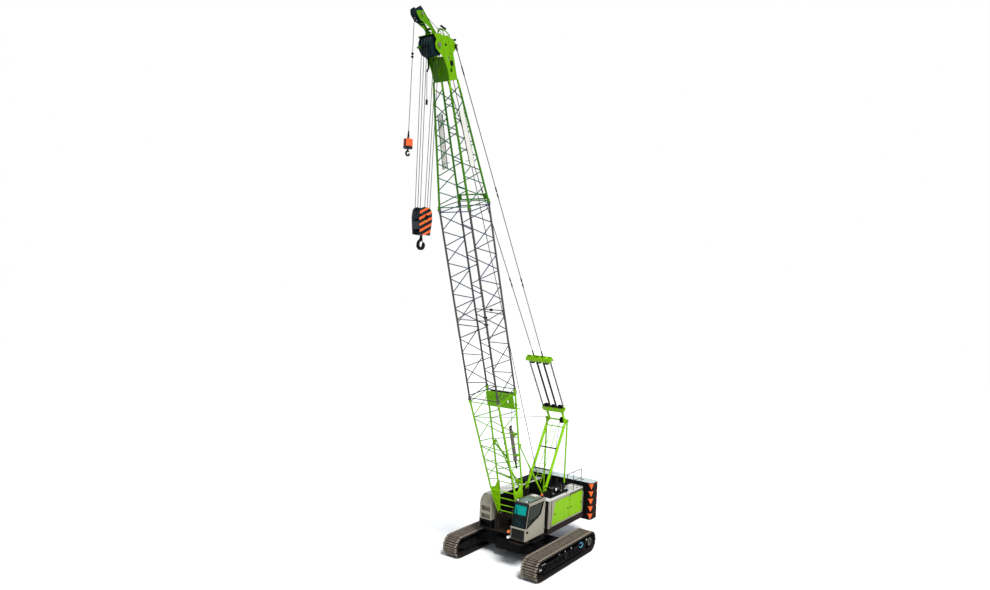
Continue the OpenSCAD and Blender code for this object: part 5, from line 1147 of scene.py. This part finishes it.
def makeStays():
    long = stayLine.length
    p = Piece("spreaderTrimHigh", "stay_upper", onStays)
    for side in (-1, 1):
        p.tube([(4.3, side * stays["lowY"], 0), (4.62, side * 0.266, 0)], stays["socket"], blackPaint, 10)
        p.tube([(long - 1.25, side * 0.4615, 0), (long - 0.85, side * 0.466, 0)], stays["socket"] * 0.75,
               blackPaint, 10)
        for s in (8.6, 8.9, 13.4, 13.7):
            y = side * (stays["lowY"] + (stays["highY"] - stays["lowY"]) * (s - 4.3) / (long - 4.5))
            p.tube([(s - 0.1, y, 0), (s + 0.1, y, 0)], stays["socket"] * 0.9, blackPaint, 10)
    q = Piece("spreaderTrimLow", "stay_lower", onStays)
    for trim, s in ((p, luffing["high"]), (q, luffing["low"])):
        for y, r in stays["pins"]:
            trim.disc((s, y, 0), r, 0.235, bareSteel, 16, axis="z")
    p.done()
    q.box((0.8, 0.6, -0.03), (1.02, 0.66, 0.03), greenPaint, edge=0.02)
    q.done()


makeStays()


def makeLuffingRopes():
    radius, low, high = luffing["radius"], luffing["low"], luffing["high"]
    p = Piece("luffingRopeSet", "stay_lower", onStays)
    for y, wide in luffing["sheaves"]:
        for side in (-1, 1):
            for z in luffing["planes"]:
                at = y + side * (wide / 2 + radius)
                p.tube([(low, at, z), (high, at, z)], radius, rustRope, 10)
    rope = p.bare()
    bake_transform(rope)
    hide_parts("luffing_ropes")


makeLuffingRopes()
print("stage: head and stays")

# Hooks: cheek bolts, swivel nut, limit weight, the ball's socket and the stops on its rope
hooks = {"cheek": 0.207, "nut": 0.085, "limit": (9.07, -0.056, 20.74)}


def makeHooks():
    top = boomPoint(crane["headS"], 0, -crane["headN"])
    low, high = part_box("hook_block")
    x = (low.x + high.x) / 2
    pin = top.z - crane["blockDrop"]
    p = Piece("blockTrim", "hoist")
    for side in (-1, 1):
        for dx, dz in ((-0.24, 0.12), (0.24, 0.12), (-0.22, -0.3), (0.22, -0.3), (0.0, -0.62)):
            p.disc((x + dx, side * hooks["cheek"], pin + dz), 0.022, 0.03, bareSteel, 6)
        p.disc((x, side * 0.232, pin), 0.085, 0.02, blackPaint, 18)
        p.disc((x + 0.06, side * 0.218, pin - 0.16), 0.03, 0.02, spreadPaint, 12)
    p.tube([(x, 0, pin - 0.7), (x, 0, pin - 0.6)], hooks["nut"], bareSteel, 6)
    # the weight of the upper limit switch
    low = Vector(hooks["limit"])
    p.tube([low, low - Vector((0, 0, 0.2))], 0.045, blackPaint, 12)
    p.done()
    h = Piece("mainHookTrim", "main_swivel")
    h.disc((x, 0, pin - 0.715), 0.08, 0.03, bareSteel, 20, axis="z")
    h.done()
    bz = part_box("ball_hook")[1].z
    b = Piece("ballTrim", "second_line")
    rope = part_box("ball_rope")
    rx = (rope[0].x + rope[1].x) / 2
    b.tube([(rx, 0, bz - 0.02), (rx, 0, bz + 0.22)], (0.042, 0.026), blackPaint, 12)
    for z in (22.13, 22.25):
        b.tube([(rx, 0, z + dz) for dz in (-0.045, -0.02, 0.02, 0.045)], (0.025, 0.052, 0.052, 0.025), blackPaint,
               16)
    b.done()


makeHooks()

# Ropes that cross from one body to another, straight between their two ends
ropes = {"hoistR": 0.016, "thinR": 0.012}


def makeCrossRope(name, first, start, end, radius, finish):
    rope = Piece(name, first).tube([start, end], radius, finish).bare()
    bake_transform(rope)


makeCrossRope("hoistRopeMain", "upperworks", Vector((-1.88, 0.0, 2.46)), boomPoint(21.95, 0.0, 0.42),
              ropes["hoistR"], ropeWire)
makeCrossRope("boomLimitRope", "upperworks", Vector((-3.12, -0.6, 6.5)), boomPoint(4.86, -0.74, 0.69),
              ropes["thinR"], rustRope)
makeCrossRope("limitWeightLine", "boom", boomPoint(*head["lever"][-1]), Vector(hooks["limit"]),
              ropes["thinR"], ropeWire)
print("stage: hooks and ropes")

# Stage: a white floor and sky, and one soft sun
studio = {"floorSize": 260.0, "sun": 3.6, "sunTurn": 0.3, "fill": 0.42}


def makeStage():
    bpy.ops.mesh.primitive_plane_add(size=studio["floorSize"], location=(0, 0, -0.001))
    floor = bpy.context.object
    floor.name = "floor"
    f = Finish("floorPaint").feed(Base_Color=(1, 1, 1, 1), Roughness=0.9)
    mirrored = f.node("ShaderNodeLightPath", output="Is Glossy Ray")
    glow = f.node("ShaderNodeEmission", [(1, 1, 1, 1)])
    ground = f.node("ShaderNodeMixShader", [mirrored, Signal(f, f.shader.outputs[0]), glow])
    f.give(f.tree.nodes["Material Output"].inputs[0], ground)
    floor.data.materials.append(f.material)
    world = bpy.data.worlds.new("studioWorld")
    bpy.context.scene.world = world
    world.use_nodes = True
    w = Maker(world.node_tree)
    back = w.tree.nodes["Background"]
    back.inputs[0].default_value = (0.86, 0.92, 1.0, 1)
    back.inputs[1].default_value = studio["fill"]
    white = w.node("ShaderNodeBackground", [(1, 1, 1, 1), 1.0])
    ray = w.node("ShaderNodeLightPath", output="Is Camera Ray")
    either = ray.largest(Signal(w, ray.socket.node.outputs["Is Transmission Ray"]))
    sky = w.node("ShaderNodeMixShader", [either, Signal(w, back.outputs[0]), white])
    w.give(w.tree.nodes["World Output"].inputs[0], sky)
    lampData = bpy.data.lights.new("softSun", "SUN")
    lampData.energy = studio["sun"]
    lampData.angle = studio["sunTurn"]
    lamp = placed("softSun", lampData)
    lamp.rotation_euler = Vector((-0.45, -0.62, -1.05)).to_track_quat("-Z", "Y").to_euler()
    bpy.context.scene.view_settings.view_transform = "Standard"


makeStage()
print("stage: floor and light set")
